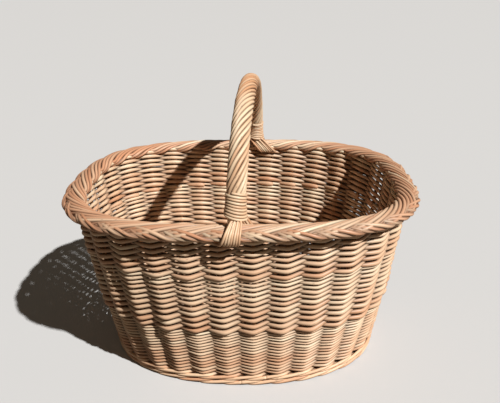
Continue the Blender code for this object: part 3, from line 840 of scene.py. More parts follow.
@dataclass
class Stakes:
    """The upright rods, each turned up out of the base."""

    plan: Plan
    workshop: Workshop
    radius: float
    foot_height: float
    bend_radius: float = 0.0066
    foot_length: float = 0.020
    bend_points: int = 7
    wall_points: int = 16
    sides: int = 12
    painted_shade: float = 0.35
    seed: int = 23

    def build(self) -> None:
        """Sweep each stake along its foot, a quarter circle and the wall's own line."""
        turn = np.linspace(0.0, 0.5 * math.pi, self.bend_points)
        tones = Wander(self.seed).tones(self.plan.stake_count)
        top_of_bend = self.foot_height + self.bend_radius
        heights = np.linspace(top_of_bend, self.plan.wall_top, self.wall_points + 1)[1:]
        for number, share in enumerate(self.plan.stake_shares, start=1):
            start, outward = self.plan.wall(share, top_of_bend)
            bend = start - outward * (self.bend_radius * (1.0 - np.sin(turn)))[:, None]
            bend[:, 2] = self.foot_height + self.bend_radius * (1.0 - np.cos(turn))
            foot = bend[:1] - outward * np.array((self.foot_length, 0.5 * self.foot_length))[:, None]
            wall, _ = self.plan.wall(share, heights)
            path = np.concatenate((foot, bend, wall))[None]
            sideways = np.broadcast_to(np.cross(outward, UP), path.shape)
            bundle = RodBundle(f"stake_rod_{number:02d}", self.sides)
            # The stake gets an even painted shade, as it stands hidden in the wall.
            bundle.lay(path, sideways, self.radius, self.radius, tones[number - 1:number], self.painted_shade)
            self.workshop.place(bundle, Rod.STAKE, (f"stake_{number:02d}",))


# Base


@dataclass
class Base:
    """Crossed sticks in the middle, the cross ones split round the long ones, and rows of pairing outside.

    The slath is the knot of crossed sticks, and a cheek is one half of a split stick.
    """

    plan: Plan
    workshop: Workshop
    height: float
    stake_radius: float
    foot_inset: float = 0.0085
    stick_reach_inset: float = 0.0340
    slath_half_length: float = 0.0745
    slath_half_width: float = 0.0150
    slath_power: float = 3.6
    rounding_share: float = 1.6
    long_sticks: int = 3
    cross_sticks: int = 7
    stick_points: int = 41
    stick_sides: int = 12
    # An even painted shade on the sticks, which lie under the weave.
    stick_painted_shade: float = 0.2
    parting_share: float = 1.6
    cheek: float = 0.0024
    cheek_overlap: float = 1.05
    rod_radius: float = 0.0018
    rod_sides: int = 6
    rod_overlap: float = 1.04
    hug_share: float = 0.6
    row_pitch: float = 0.0040
    points_per_gap: int = 8
    crossing_painted_shade: float = 0.8
    nudge: float = 1e-7
    share_digits: int = 6
    thickness_sway: Sway = Sway(0.05, 9.0)
    stick_seed: int = 131
    rod_seed: int = 137

    def sticks(self) -> None:
        """Lay the sticks, each cross stick as two halves that part in the middle along a raised cosine."""
        wander = Wander(self.stick_seed)
        long_boxes = solid_boxes("base_long_stick", self.long_sticks)
        cross_boxes = solid_boxes("base_cross_stick", self.cross_sticks)
        radius = 0.5 * float(np.mean(long_boxes[:, 1, 1:] - long_boxes[:, 0, 1:]))
        share = np.linspace(0.0, 1.0, self.stick_points)
        for number, (low, high) in enumerate(long_boxes, start=1):
            along = blended(low[0], high[0], share)
            middle = np.full(along.shape, 0.5 * (low[1] + high[1]))
            line = lifted(np.stack((along, middle), axis=-1), self.height)[None]
            sideways = np.broadcast_to((0.0, 1.0, 0.0), line.shape)
            bundle = RodBundle(f"long_stick_{number}", self.stick_sides)
            bundle.lay(line, sideways, radius, radius, wander.tones(1), self.stick_painted_shade)
            self.workshop.place(bundle, Rod.STICK, (f"base_long_stick_{number}",))
        slot = 0.5 * float(long_boxes[:, 1, 1].max() - long_boxes[:, 0, 1].min())
        for number, (low, high) in enumerate(cross_boxes, start=1):
            along = blended(low[1], high[1], share)
            beyond = clipped((np.abs(along) - slot) / (self.parting_share * slot))
            parted = 0.5 * (1.0 + np.cos(math.pi * beyond))
            rise = 0.5 * radius + (0.5 * radius + 0.5 * self.cheek) * parted
            middle = np.full(along.shape, 0.5 * (low[0] + high[0]))
            flat = np.stack((middle, along), axis=-1)
            line = np.stack([lifted(flat, self.height + side * rise) for side in (1.0, -1.0)])
            sideways = np.broadcast_to((1.0, 0.0, 0.0), line.shape)
            tall = self.cheek_overlap * blended(0.5 * radius, 0.5 * self.cheek, parted)
            bundle = RodBundle(f"cross_stick_{number}", self.stick_sides)
            bundle.lay(line, sideways, radius, tall, np.repeat(wander.tones(1), 2), self.stick_painted_shade)
            self.workshop.place(bundle, Rod.STICK, (f"base_cross_stick_{number}",))

    def row_oval(self, inward: float) -> Oval:
        """The oval of a row, which goes over from the foot's oval to the slath's rounded rectangle.

        Args:
            inward: how far in the row lies, from 0 at the foot to 1 at the slath.

        Returns:
            The oval.
        """
        foot = self.plan.foot
        half_length = blended(foot.half_length - self.foot_inset, self.slath_half_length, inward)
        half_width = blended(foot.half_width - self.foot_inset, self.slath_half_width, inward)
        rounding = min(1.0, self.rounding_share * (1.0 - inward))
        return Oval(half_length, half_width, blended(self.slath_power, foot.power, rounding))

    def posts(self, oval: Oval) -> np.ndarray:
        """Find where a row meets the sticks' middle lines.

        A nudge keeps the lines off the oval's own points, and rounding merges what was met twice.

        Args:
            oval: the row's oval.

        Returns:
            Perimeter shares, in order.
        """
        line, lengths = oval.trace()
        shares = []
        for name, count, axis in (("long", self.long_sticks, 1), ("cross", self.cross_sticks, 0)):
            for box in solid_boxes(f"base_{name}_stick", count):
                side = np.sign(line[:, axis] - box[:, axis].mean() - self.nudge)
                shares.extend(lengths[np.nonzero(np.diff(side))[0]] / lengths[-1])
        return np.unique(np.round(np.mod(shares, 1.0), self.share_digits))

    def pairing(self) -> None:
        """Weave rows of two rods that cross between sticks, each going over one stick and under the next.

        A rod's height over the base's middle is a cosine of its place among the sticks, with plus one
        over a stick and minus one under the next, and its painted shade is the cube of the sine. Beyond
        the sticks' ends the rows hold the stakes' feet, whose number is odd, so one rod goes round twice.
        """
        wander = Wander(self.rod_seed)
        bundle = RodBundle("base_pairing", self.rod_sides)
        depth = self.plan.foot.half_width - self.foot_inset - self.slath_half_width
        reach = self.stake_radius + self.hug_share * self.rod_radius
        for inward in np.linspace(0.0, 1.0, int(depth / self.row_pitch)):
            oval = self.row_oval(inward)
            among_feet = inward * depth + self.foot_inset < self.stick_reach_inset
            posts = self.plan.stake_shares if among_feet else self.posts(oval)
            odd = len(posts) % 2
            laps = 2 if odd else 1
            place = np.arange(len(posts) * laps * self.points_per_gap) / self.points_per_gap
            known = np.concatenate([posts + lap for lap in range(laps + 1)])
            starts = np.zeros((1, 1)) if odd else np.array(((0.0,), (1.0,)))
            heights = self.height + reach * np.cos(math.pi * (place + starts))
            shares = np.broadcast_to(np.interp(place, np.arange(len(known)), known), heights.shape)
            flat, normals = oval.at(shares)
            lines = lifted(flat, heights)
            waves = wander.waves(len(lines), place, self.thickness_sway)
            thick = self.rod_radius * (self.rod_overlap + waves)
            # Painted shade where the rod crosses between the sticks.
            hidden = self.crossing_painted_shade * np.abs(np.sin(math.pi * place)) ** 3
            tones = wander.tones(len(lines))
            bundle.lay(lines, lifted(normals, 0.0), thick, thick, tones, hidden, closed=True)
        self.workshop.place(bundle, Rod.WALE, ("base_weave",))

    def build(self) -> None:
        """Lay the sticks and weave round them."""
        self.sticks()
        self.pairing()


# Border


@dataclass(frozen=True)
class Mark:
    """A place on the route of a plait's strand.

    It is so many stake gaps along, and travelled is its length round the plait's section, outward from
    the top. Its level is 1 on the section's surface and 0 in its middle, and its width is a share of
    the strand's full width.
    """

    along: float
    travelled: float
    level: float
    width: float


@dataclass
class Border:
    """A plait of five strands abreast that runs round over the stakes' tops.

    The plait is wrapped over an ellipse, its section. Each strand makes a long stroke from the outer
    face over the top to the inner edge, slips through the plait's middle, makes a shorter stroke down
    the outer face, and slips back. The route meets its own start after five turns round the basket. The
    plait is darker in step with X towards the left end, which is painted shade, and darker with the cube
    of X towards the right one.
    """

    plan: Plan
    workshop: Workshop
    breadth: float
    depth: float
    rods: int = 3
    rod_diameter: float = 0.0053
    rod_sides: int = 10
    abreast: int = 5
    pieces: int = 3
    joint_along: float = 2.75
    easing: float = 0.16
    easing_samples: int = 11
    section_samples: int = 1440
    core_share: float = 0.30
    stagger_share: float = 0.9
    slip_painted_shade: float = 0.9
    # Painted shade in the grooves where the rods touch.
    contact: float = 0.85
    tan_and_painted_shade_share: float = 0.50
    far_end_darkening_share: float = 0.35
    points_per_gap: int = 14
    thickness_spread: float = 0.05
    side_sway: Sway = Sway(0.0005, 6.0)
    lift_sway: Sway = Sway(0.0004, 4.0)
    thickness_sway: Sway = Sway(0.06, 8.0)
    tone_sway: Sway = Sway(0.30, 9.0)
    seed: int = 37
    route: tuple[Mark, ...] = (
        Mark(0.00, 0.0150, 0.35, 0.70),
        Mark(0.50, 0.0095, 0.84, 1.00),
        Mark(1.80, -0.0120, 1.03, 1.00),
        Mark(2.35, -0.0205, 0.90, 0.75),
        Mark(2.75, -0.0080, 0.10, 0.60),
        Mark(3.05, 0.0070, 0.35, 0.70),
        Mark(3.50, 0.0135, 0.90, 1.00),
        Mark(4.30, 0.0245, 1.03, 1.00),
        Mark(4.65, 0.0270, 0.60, 0.60),
    )

    def levels(self, gaps: np.ndarray) -> np.ndarray:
        """How near the plait's surface a strand is at places along it."""
        return self.eased(gaps, [mark.level for mark in self.route])

    def section(self, travelled: np.ndarray) -> tuple[np.ndarray, np.ndarray]:
        """Places on the ellipse of the plait's section.

        Args:
            travelled: lengths from its top, positive outward.

        Returns:
            Places outward and upward from its middle, and its normals there, each with two columns.
        """
        turn = np.linspace(-math.pi, math.pi, self.section_samples + 1)
        halves = 0.5 * (np.array((self.breadth, self.depth)) - self.rod_diameter)
        arc = lengths_along(halves * np.stack((np.sin(turn), np.cos(turn)), axis=-1))
        angle = np.interp(travelled, arc - 0.5 * arc[-1], turn)
        places = halves * np.stack((np.sin(angle), np.cos(angle)), axis=-1)
        return places, unit(places / halves**2)

    def eased(self, gaps: np.ndarray, values: Sequence[float]) -> np.ndarray:
        """Values of the route's marks, drawn straight from mark to mark and smoothed by a weighted mean.

        Args:
            gaps: places along the strand, in stake gaps.
            values: one value for each mark.

        Returns:
            The value at each place.
        """
        places = [mark.along for mark in self.route]
        shifts = np.linspace(-1.0, 1.0, self.easing_samples + 2)[1:-1]
        weights = (1.0 - np.abs(shifts)) / (1.0 - np.abs(shifts)).sum()
        return sum(weight * np.interp(gaps + 2.0 * self.easing * shift, places, values, period=self.abreast)
                   for shift, weight in zip(shifts, weights))

    def strand(self, gaps: np.ndarray, reach: np.ndarray) -> tuple[np.ndarray, np.ndarray]:
        """Lines of a strand's rods.

        Where the strand is narrow every other rod goes deeper, under its neighbours.

        Args:
            gaps: places along the strand, in stake gaps.
            reach: how far each rod lies from the strand's own middle, as rods by places.

        Returns:
            The lines and their outward normals.
        """
        width = self.eased(gaps, [mark.width for mark in self.route])
        middle = self.eased(gaps, [mark.travelled for mark in self.route])
        places, normals = self.section(middle + reach * width)
        odd = (np.arange(len(reach)) % 2)[:, None]
        stagger = self.stagger_share * self.rod_diameter * odd * (1.0 - width)
        places = places * blended(self.core_share, 1.0, self.levels(gaps))[:, None]
        turns = np.broadcast_to(gaps / self.plan.stake_count, reach.shape)
        lines = self.plan.over_border(turns, places[..., 0], self.plan.border_middle + places[..., 1])
        _, flat = self.plan.border.at(turns)
        normals = lifted(flat * normals[..., :1], normals[..., 1])
        return lines - stagger[..., None] * normals, normals

    def build(self) -> None:
        """Lay the rods of each piece side by side."""
        routes = self.plan.stake_count // self.pieces
        joints = [self.joint_along + self.abreast * routes * number for number in range(self.pieces)]
        joints.append(self.joint_along + self.abreast * self.plan.stake_count)
        wander = Wander(self.seed)
        rods = self.rods
        for number, (start, end) in enumerate(zip(joints, joints[1:]), start=1):
            gaps = np.linspace(start, end, int((end - start) * self.points_per_gap) + 1)
            reach = (np.arange(rods) - 0.5 * (rods - 1))[:, None] * self.rod_diameter
            lines, normals = self.strand(gaps, reach + wander.waves(rods, gaps, self.side_sway))
            lines = lines + wander.waves(rods, gaps, self.lift_sway)[..., None] * normals
            thick = 0.5 * self.rod_diameter * wander.spread(rods, self.thickness_spread)
            thick = thick * (1.0 + wander.waves(rods, gaps, self.thickness_sway))
            # Painted shade where the strand slips into the plait's middle.
            under = self.slip_painted_shade * clipped(1.0 - self.levels(gaps))
            tones = wander.tones(rods)[:, None] + wander.waves(rods, gaps, self.tone_sway)
            # Painted shade towards the left end, and a plain darkening towards the right end.
            side = lines[..., 0] / self.plan.border.half_length
            tan_and_painted_shade = self.tan_and_painted_shade_share * clipped(-side) + self.far_end_darkening_share * clipped(side) ** 3
            bundle = RodBundle(f"border_plait_{number}", self.rod_sides)
            bundle.lay(lines, normals, thick, thick, clipped(tones - tan_and_painted_shade), under, self.contact)
            self.workshop.place(bundle, Rod.BORDER, (f"border_strand_{number}",))


# Handle


class Side(Enum):
    """A foot of the handle."""

    FRONT = "front"
    BACK = "back"


class Face(Enum):
    """A side of the border."""

    OUTER = "outer"
    INNER = "inner"


@dataclass
class Arch:
    """The handle's middle line above the border, and the radius of the rope round it.

    The line leans to +X as it rises, and its front foot is moved by the front shift. The rope is drawn
    in by the squeeze at both feet, over the squeeze's length.
    """

    plan: Plan
    top: float
    border_top: float
    start_above_border: float = 0.0076
    diameter: float = 0.0243
    power: float = 0.86
    samples: int = 4000
    read_samples: int = 1200
    lean: float = 0.0038
    front_shift: float = -0.0012
    squeeze: float = 0.0025
    squeeze_length: float = 0.034

    @property
    def start_height(self) -> float:
        """Height over the floor at which the line starts and ends."""
        return self.border_top + self.start_above_border

    def feet(self) -> np.ndarray:
        """Where the line would meet the border's middle, in front and at the back."""
        return self.plan.wall(self.plan.foot_shares, self.plan.border_middle)[0]

    def trace(self) -> np.ndarray:
        """Walk along the line.

        It runs between the two feet along a cosine, and rises along a sine raised to a power, which is
        a little fuller than an ellipse. The lean grows with the rise, and the front shift shrinks.

        Returns:
            Its points, close together.
        """
        front, back = self.feet()
        turn = np.linspace(0.0, math.pi, self.samples + 1)
        line = 0.5 * (front + back) - 0.5 * (back - front) * np.cos(turn)[:, None]
        rise = np.sin(turn) ** self.power
        line[:, 0] += self.lean * rise + self.front_shift * (1.0 - rise) * (np.cos(turn) > 0.0)
        line[:, 2] = blended(self.plan.border_middle, self.top - 0.5 * self.diameter, rise)
        return line[line[:, 2] >= self.start_height]

    def length(self) -> float:
        """The line's length."""
        return float(lengths_along(self.trace())[-1])

    def across(self) -> np.ndarray:
        """The level direction that is square to the plane through both feet."""
        front, back = self.feet()
        return unit(np.cross(back - front, UP))

    def radius(self, along: np.ndarray) -> np.ndarray:
        """The rope's radius at distances along the line, drawn in along a parabola at both feet."""
        nearer = clipped(np.minimum(along, self.length() - along) / self.squeeze_length)
        return 0.5 * self.diameter - self.squeeze * (1.0 - nearer**2)

    def around(
        self,
        along: np.ndarray,
        turn: np.ndarray,
        radius: Any,
        backwards: bool = False,
    ) -> np.ndarray:
        """Points round the line.

        Args:
            along: distances from the line's start, in metres, which may lie before it.
            turn: angles round the line, counted from the direction across.
            radius: distances from the line.
            backwards: whether the distances are counted from the back foot.

        Returns:
            The points.
        """
        line = evened(self.trace(), self.read_samples)
        tangent = unit(np.gradient(line, axis=0))
        if backwards:
            line = line[::-1]
            tangent = -tangent[::-1]
        lengths = np.linspace(0.0, self.length(), len(line))
        centres = read_off(along, lengths, line) + np.minimum(along, 0.0)[..., None] * tangent[0]
        runs = unit(read_off(along, lengths, tangent))
        across = np.broadcast_to(self.across(), runs.shape)
        reach = np.broadcast_to(radius, along.shape)[..., None]
        sine = np.sin(turn)[..., None]
        return centres + reach * (np.cos(turn)[..., None] * across + sine * np.cross(runs, across))


@dataclass
class Bow:
    """The stout rod inside the rope, whose pointed ends, the pegs, go down into the siding."""

    plan: Plan
    workshop: Workshop
    arch: Arch
    radius: float = 0.0074
    points: int = 80
    sides: int = 14
    tone: float = 0.4
    # An even painted shade on the bow, which lies hidden inside the rope.
    painted_shade: float = 0.35
    peg_radius: float = 0.0018
    peg_length: float = 0.012
    peg_points: int = 14

    def build(self) -> None:
        """Sweep the rod up from one peg, along the arch and down to the other, with a cubic taper."""
        tip = self.plan.wall_top - self.peg_length
        heights = np.linspace(tip, self.plan.border_middle, self.peg_points)
        front, back = (self.plan.wall(share, heights)[0] for share in self.plan.foot_shares)
        line = np.concatenate((front, evened(self.arch.trace(), self.points), back[::-1]))[None]
        rise = clipped((line[..., 2] - tip) / (self.arch.border_top - tip))
        radius = blended(self.peg_radius, self.radius, rise**3)
        sideways = np.broadcast_to(self.arch.across(), line.shape)
        bundle = RodBundle("bow_rod", self.sides)
        bundle.lay(line, sideways, radius, radius, (self.tone,), self.painted_shade)
        self.workshop.place(bundle, Rod.BOW, ("handle_bow",))


@dataclass
class Rope:
    """Rods that run round the bow together, at a steady pitch, and are tanned at the crown."""

    workshop: Workshop
    arch: Arch
    rods: int = 11
    groups: int = 3
    pitch: float = 0.120
    points: int = 170
    sides: int = 12
    overrun: float = 0.006
    overlap: float = 1.06
    # Painted shade in the grooves where the rods touch.
    contact: float = 0.70
    tan_and_painted_shade_share: float = 0.70
    tan_length: float = 0.055
    thickness_spread: float = 0.04
    turn_sway: Sway = Sway(0.05, 0.11)
    lift_sway: Sway = Sway(0.0003, 0.09)
    thickness_sway: Sway = Sway(0.05, 0.07)
    seed: int = 53

    def build(self) -> None:
        """Lay the rods in groups.

        Their radius is the one at which neighbours just touch, as slanting circles round the bow. The
        crown's tan is a bell curve along the arch.
        """
        length = self.arch.length()
        wander = Wander(self.seed)
        slope = math.pi * self.arch.diameter / self.pitch
        snug = math.sin(math.pi / self.rods) / math.hypot(1.0, slope)
        rod_radius = 0.5 * self.arch.diameter * snug / (1.0 + snug)
        along = np.linspace(-self.overrun, length + self.overrun, self.points)
        # The crown's rods are tanned, darker in their own colour.
        tan_and_painted_shade = self.tan_and_painted_shade_share * np.exp(-(((along - 0.5 * length) / self.tan_length) ** 2))
        edges = [group * self.rods // self.groups for group in range(self.groups + 1)]
        for group, (first, last) in enumerate(zip(edges, edges[1:]), start=1):
            count = last - first
            turn = FULL_TURN * (along / self.pitch + np.arange(first, last)[:, None] / self.rods)
            turn = turn + wander.waves(count, along, self.turn_sway)
            radius = self.arch.radius(along) - rod_radius + wander.waves(count, along, self.lift_sway)
            places = np.broadcast_to(along, turn.shape)
            lines = self.arch.around(places, turn, radius)
            centres = self.arch.around(places, turn, 0.0)
            thick = rod_radius * self.overlap * wander.spread(count, self.thickness_spread)
            thick = thick * (1.0 + wander.waves(count, along, self.thickness_sway))
            tones = clipped(wander.tones(count)[:, None] - tan_and_painted_shade)
            bundle = RodBundle(f"rope_rods_{group}", self.sides)
            bundle.lay(lines, unit(lines - centres), thick, thick, tones, contact=self.contact)
            self.workshop.place(bundle, Rod.ROPE, (f"handle_wrap_{group}",))


@dataclass
class Bindings:
    """One thin rod wound round each foot of the handle, turn against turn."""

    workshop: Workshop
    arch: Arch
    rod_diameter: float
    turns: float = 8.3
    points_per_turn: int = 36
    sides: int = 10
    inset: float = 0.0012
    flare: float = 0.0032
    tilt: float = 0.0011
    overlap: float = 1.02
    # Painted shade in the grooves where the turns touch.
    contact: float = 0.6
    tone: float = 0.5
    step_sway: Sway = Sway(0.0002, 3.1)
    thickness_sway: Sway = Sway(0.06, 4.3)
    tone_sway: Sway = Sway(0.4, 2.3)
    seed: int = 61

    def build(self) -> None:
        """Wind both rods.

        The turns tilt a little, by the cosine of the angle round the bow, and the lowest ones flare out
        over the border along a parabola.
        """
        rod_radius = 0.5 * self.rod_diameter
        turns = np.linspace(0.0, self.turns, int(self.turns * self.points_per_turn) + 1)
        turn = -FULL_TURN * turns
        low = 1.0 - turns / self.turns
        for number, side in enumerate(Side):
            backwards = side is Side.BACK
            wander = Wander(self.seed + number)
            along = rod_radius + self.rod_diameter * turns + wander.waves(1, turns, self.step_sway)[0]
            along = along - self.tilt * (1.0 + low) * np.cos(turn)
            radius = self.arch.radius(along) + rod_radius - self.inset + self.flare * low**2
            line = self.arch.around(along, turn, radius, backwards)[None]
            centres = self.arch.around(along, turn, 0.0, backwards)[None]
            thick = rod_radius * (self.overlap + wander.waves(1, turns, self.thickness_sway))
            tones = self.tone + wander.waves(1, turns, self.tone_sway)
            bundle = RodBundle(f"{side.value}_binding_rod", self.sides)
            bundle.lay(line, unit(line - centres), thick, thick, tones, contact=self.contact)
            self.workshop.place(bundle, Rod.ROPE, (f"{side.value}_binding",))


@dataclass(frozen=True)
class Tie:
    """A fan of rods that ties a foot of the handle down over the border, on one side of it.

    The offsets and widths are measured along the border, counter-clockwise, at the fan's top and end.
    A stray is how much further than the rest the first rod wanders at its tip.
    """

    side: Side
    face: Face
    top_offset: float
    end_offset: float
    top_width: float
    end_width: float
    stray: float


@dataclass
class Ties:
    """The four ties, whose rods start under the bindings and lie round the plait."""

    plan: Plan
    workshop: Workshop
    arch: Arch
    rod_diameter: float
    border_breadth: float
    border_depth: float
    overhang: float
    rods: int = 7
    sides: int = 10
    # Painted shade in the grooves where the rods touch.
    contact: float = 0.6
    gap: float = 0.0004
    start_share: float = 0.3
    hug_power: float = 2.5
    stagger: float = 0.0010
    end_clearance: float = 0.0085
    samples: int = 400
    points: int = 48
    smoothings: int = 3
    shown_share: float = 0.8
    widest: float = 1.2
    top_thickness: float = 0.94
    end_thickness: float = 1.04
    thickness_spread: float = 0.05
    sway: Sway = Sway(0.0004, 1.7)
    seed: int = 71
    ties: tuple[Tie, ...] = (
        Tie(Side.FRONT, Face.OUTER, 0.0010, -0.0074, 0.0126, 0.0240, 0.0070),
        Tie(Side.FRONT, Face.INNER, 0.0, 0.0100, 0.0180, 0.0270, 0.0),
        Tie(Side.BACK, Face.OUTER, 0.0, -0.0080, 0.0150, 0.0260, 0.0),
        Tie(Side.BACK, Face.INNER, 0.0, -0.0190, 0.0215, 0.0270, 0.0),
    )

    def section(self, towards: float) -> tuple[np.ndarray, np.ndarray]:
        """The line of a tie, seen along the border.

        It runs straight from the bow's face, under the binding, to where it touches a superellipse that
        is a little larger than the plait's section, follows that round the plait and ends under it. It is
        smoothed a few times by a weighted mean of each point and its neighbours.

        Args:
            towards: how far the bow stands towards the tie's side of the plait's middle line.

        Returns:
            Evenly spaced distances from the plait's middle line and rises over its middle.
        """
        room = 0.5 * self.rod_diameter + self.gap
        half_sizes = (0.5 * self.border_breadth + room, 0.5 * self.border_depth + room)
        start_across = 0.5 * self.arch.diameter - self.arch.squeeze + self.start_share * room + towards
        start_rise = self.arch.start_height - self.plan.border_middle + 0.5 * room
        finish = max((self.end_clearance + towards) / half_sizes[0], 0.0) ** (0.5 * self.hug_power)
        angle = np.linspace(0.5 * math.pi, -math.acos(finish), self.samples)
        directions = np.stack((np.maximum(np.cos(angle), 0.0), np.sin(angle)), axis=-1)
        hug = superellipse(half_sizes, directions, self.hug_power)
        touching = int(np.argmax(np.arctan2(hug[:, 1] - start_rise, hug[:, 0] - start_across)))
        line = np.concatenate((((start_across, start_rise),), hug[touching:]))
        line = evened(line, self.points)
        for _ in range(self.smoothings):
            line[1:-1] = 0.25 * line[:-2] + 0.5 * line[1:-1] + 0.25 * line[2:]
        return line[:, 0], line[:, 1]

    def fan(self, tie: Tie, foot_share: float, seed: int) -> None:
        """Lay the rods of a tie.

        The fan moves from its top offset to its end offset along a straight line, and widens as the
        square root of the share of its length. Every other rod lies a little deeper at the top, where
        they crowd together.

        Args:
            tie: the fan's sizes.
            foot_share: the foot's perimeter share.
            seed: which row of draws it uses.
        """
        wander = Wander(seed)
        sense = 1.0 if tie.face is Face.OUTER else -1.0
        across, rise = self.section(-sense * self.overhang)
        share = np.linspace(0.0, 1.0, len(across))
        shown = np.clip(share / self.shown_share, 0.0, self.widest)
        reach = np.linspace(-0.5, 0.5, self.rods)[:, None]
        width = blended(tie.top_width, tie.end_width, np.sqrt(shown)) - self.rod_diameter
        sideways = width * reach + blended(tie.top_offset, tie.end_offset, shown)
        sideways = sideways + wander.waves(self.rods, share, self.sway) * share
        sideways[0] -= tie.stray * share**4
        stagger = self.stagger * (1.0 - 2.0 * (np.arange(self.rods) % 2))[:, None]
        outward = sense * (across + stagger * (1.0 - share) ** 2)
        shares = foot_share + sideways / self.plan.border.length()
        lines = self.plan.over_border(shares, outward, self.plan.border_middle + rise)
        _, normals = self.plan.border.at(shares)
        facing = lifted(normals * outward[..., None], rise)
        thick = 0.5 * self.rod_diameter * wander.spread(self.rods, self.thickness_spread)
        thick = thick * blended(self.top_thickness, self.end_thickness, share)
        name = f"{tie.side.value}_{tie.face.value}_tie"
        bundle = RodBundle(f"{name}_rods", self.sides)
        bundle.lay(lines, facing, thick, thick, wander.tones(self.rods), contact=self.contact)
        self.workshop.place(bundle, Rod.ROPE, (name,))

    def build(self) -> None:
        """Lay every tie at its foot."""
        shares = dict(zip(Side, self.plan.foot_shares))
        for number, tie in enumerate(self.ties):
            self.fan(tie, shares[tie.side], self.seed + number)


# Stage


@dataclass(frozen=True)
class Camera:
    """The photograph's camera, with its angles in degrees."""

    aim: tuple[float, float, float] = (0.0119, 0.0, 0.2279)
    azimuth: float = 1.776
    elevation: float = 23.74
    distance: float = 0.8106
    roll: float = -0.851
    focal_pixels: float = 539.7
    frame_width: float = 500.0
    sensor_width: float = 36.0

    def build(self) -> None:
        """Set the camera up at its distance from the aim, turned to face it and rolled."""
        lens = bpy.data.cameras.new("camera")
        lens.sensor_width = self.sensor_width
        lens.lens = self.focal_pixels * self.sensor_width / self.frame_width
        camera = bpy.data.objects.new("camera", lens)
        azimuth = math.radians(self.azimuth)
        elevation = math.radians(self.elevation)
        back = Vector((
            math.sin(azimuth) * math.cos(elevation),
            -math.cos(azimuth) * math.cos(elevation),
            math.sin(elevation),
        ))
        turned = back.to_track_quat("Z", "Y").to_matrix() @ Matrix.Rotation(math.radians(self.roll), 3, "Z")
        camera.matrix_world = Matrix.Translation(Vector(self.aim) + self.distance * back) @ turned.to_4x4()
        bpy.context.scene.collection.objects.link(camera)
        bpy.context.scene.camera = camera


@dataclass(frozen=True)
class Studio:
    """A pale floor and backdrop, with a small strong key light where the sun stands in the photograph.

    The floor bounce is the floor's colour for light that goes on to the basket, and the glossy share
    is how much of the floor and the backdrop shows in a reflection.
    """

    floor_half_size: float = 40.0
    floor_gap: float = 0.0002
    floor_roughness: float = 0.85
    floor_colour: Colour = (0.64, 0.63, 0.615, 1.0)
    floor_bounce: Colour = (0.13, 0.105, 0.08, 1.0)
    key_direction: tuple[float, float, float] = (0.512, -0.458, 0.728)
    key_spread: float = 1.2
    key_strength: float = 4.65
    air_colour: Colour = (1.0, 0.84, 0.66, 1.0)
    air_strength: float = 0.063
    backdrop_colour: Colour = (1.0, 0.99, 0.975, 1.0)
    backdrop_strength: float = 0.745
    glossy_share: float = 0.1

    def seen(self, tree: Tree) -> Value:
        """One where the camera looks, a little in reflections, and nought for light that bounces on."""
        camera = tree.add("ShaderNodeLightPath", {}, {}, "Is Camera Ray")
        glossy = tree.add("ShaderNodeLightPath", {}, {}, "Is Glossy Ray")
        return (camera + self.glossy_share * glossy).clamped()

    def floor(self) -> None:
        """A level square just under the basket, which looks pale but throws little light back up."""
        half = self.floor_half_size
        level = -self.floor_gap
        mesh = bpy.data.meshes.new("floor")
        corners = [(-half, -half, level), (half, -half, level), (half, half, level), (-half, half, level)]
        mesh.from_pydata(corners, [], [(0, 1, 2, 3)])
        tree = Tree(bpy.data.materials.new("floor_paint"))
        paint = tree.mixed(self.seen(tree), self.floor_bounce, self.floor_colour)
        tree.feed(tree.shader, {"Base Color": paint, "Roughness": self.floor_roughness})
        mesh.materials.append(tree.owner)
        floor = bpy.data.objects.new("floor", mesh)
        bpy.context.scene.collection.objects.link(floor)

    def air(self) -> None:
        """Even light from all round, with a brighter backdrop where the camera sees it."""
        tree = Tree(bpy.data.worlds.new("studio_air"), "Background")
        seen = self.seen(tree)
        tint = tree.mixed(seen, self.air_colour, self.backdrop_colour)
        strength = self.air_strength + (self.backdrop_strength - self.air_strength) * seen
        tree.feed(tree.shader, {"Color": tint, "Strength": strength})
        bpy.context.scene.world = tree.owner

    def key(self) -> None:
        """The key light, far away and as wide in the sky as its spread says, in degrees."""
        light = bpy.data.lights.new("key_light", "SUN")
        light.energy = self.key_strength
        light.angle = math.radians(self.key_spread)
        lamp = bpy.data.objects.new("key_light", light)
        lamp.matrix_world = Vector(self.key_direction).to_track_quat("Z", "Y").to_matrix().to_4x4()
        bpy.context.scene.collection.objects.link(lamp)

    def build(self) -> None:
        """Floor, air and key light."""
        self.floor()
        self.air()
        self.key()
        bpy.context.scene.view_settings.view_transform = "Standard"


# Whole basket


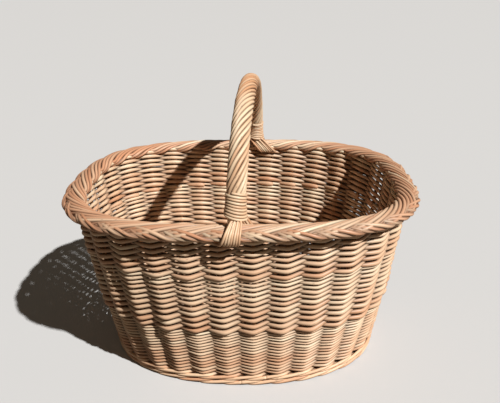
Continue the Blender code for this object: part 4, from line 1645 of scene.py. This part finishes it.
@dataclass(frozen=True)
class Sizes:
    """Sizes that several pieces share. The plait lies a drop lower than the solids' plait."""

    border_breadth: float = 0.033
    border_power: float = 2.85
    overhang: float = 0.007
    plait_drop: float = 0.0020
    plait_strands: int = 3
    foot_half_length: float = 0.206
    foot_half_width: float = 0.1395
    foot_power: float = 2.21
    siding_thickness: float = 0.0170
    siding_overrun: float = 0.003
    wale_top: float = 0.0185
    stake_radius: float = 0.0031
    base_height: float = 0.0099
    handle_raise: float = 0.0025
    tying_rod_diameter: float = 0.0034

    def plait_box(self) -> tuple[np.ndarray, np.ndarray]:
        """Low and high corners of the box round the solids' plait."""
        boxes = solid_boxes("border_strand", self.plait_strands)
        return boxes[:, 0].min(axis=0), boxes[:, 1].max(axis=0)

    def border_depth(self) -> float:
        """Height of the plait's section."""
        low, high = self.plait_box()
        return float(high[2] - low[2]) - self.plait_drop

    def handle_top(self) -> float:
        """Height of the rope's crown, a little over the solids' wraps."""
        return float(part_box("handle_wrap_1")[1][2]) + self.handle_raise

    def plan(self) -> Plan:
        """The plan, whose border runs through the middle of the plait.

        Returns:
            The plan.
        """
        low, high = self.plait_box()
        half_length, half_width = (0.5 * (high - low)[:2] - 0.5 * self.border_breadth).tolist()
        wall_half = 0.5 * self.siding_thickness
        return Plan(
            border=Oval(half_length, half_width, self.border_power),
            rim=Oval(half_length - self.overhang, half_width - self.overhang, self.border_power),
            foot=Oval(self.foot_half_length - wall_half, self.foot_half_width - wall_half, self.foot_power),
            wall_top=float(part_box("stake_01")[1][2]),
            border_middle=0.5 * float(high[2] + low[2]) - self.plait_drop,
        )


def main() -> None:
    """Build the basket's pieces round the frame, and the stage."""
    logging.basicConfig(level=logging.INFO, format="%(name)s: %(message)s")
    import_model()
    workshop = Workshop(willow_finishes())
    sizes = Sizes()
    plan = sizes.plan()
    depth = sizes.border_depth()
    siding_top = plan.wall_top + sizes.siding_overrun
    Siding(plan, workshop, sizes.stake_radius, (
        Band("lower_siding", "lower_band", 0.0176, 0.098, 0.0068, 0.0051, 101),
        Band("middle_siding", "middle_band", 0.0965, 0.190, 0.0106, 0.0060, 102),
        Band("upper_siding", "upper_band", 0.1880, siding_top, 0.0090, 0.0070, 103),
    )).build()
    Wale(plan, workshop, sizes.stake_radius, sizes.wale_top).build()
    Stakes(plan, workshop, sizes.stake_radius, sizes.base_height).build()
    Base(plan, workshop, sizes.base_height, sizes.stake_radius).build()
    Border(plan, workshop, sizes.border_breadth, depth).build()
    arch = Arch(plan, sizes.handle_top(), plan.border_middle + 0.5 * depth)
    Bow(plan, workshop, arch).build()
    Rope(workshop, arch).build()
    Bindings(workshop, arch, sizes.tying_rod_diameter).build()
    Ties(
        plan, workshop, arch, sizes.tying_rod_diameter, sizes.border_breadth, depth, sizes.overhang,
    ).build()
    Camera().build()
    Studio().build()


if __name__ == "__main__":
    main()
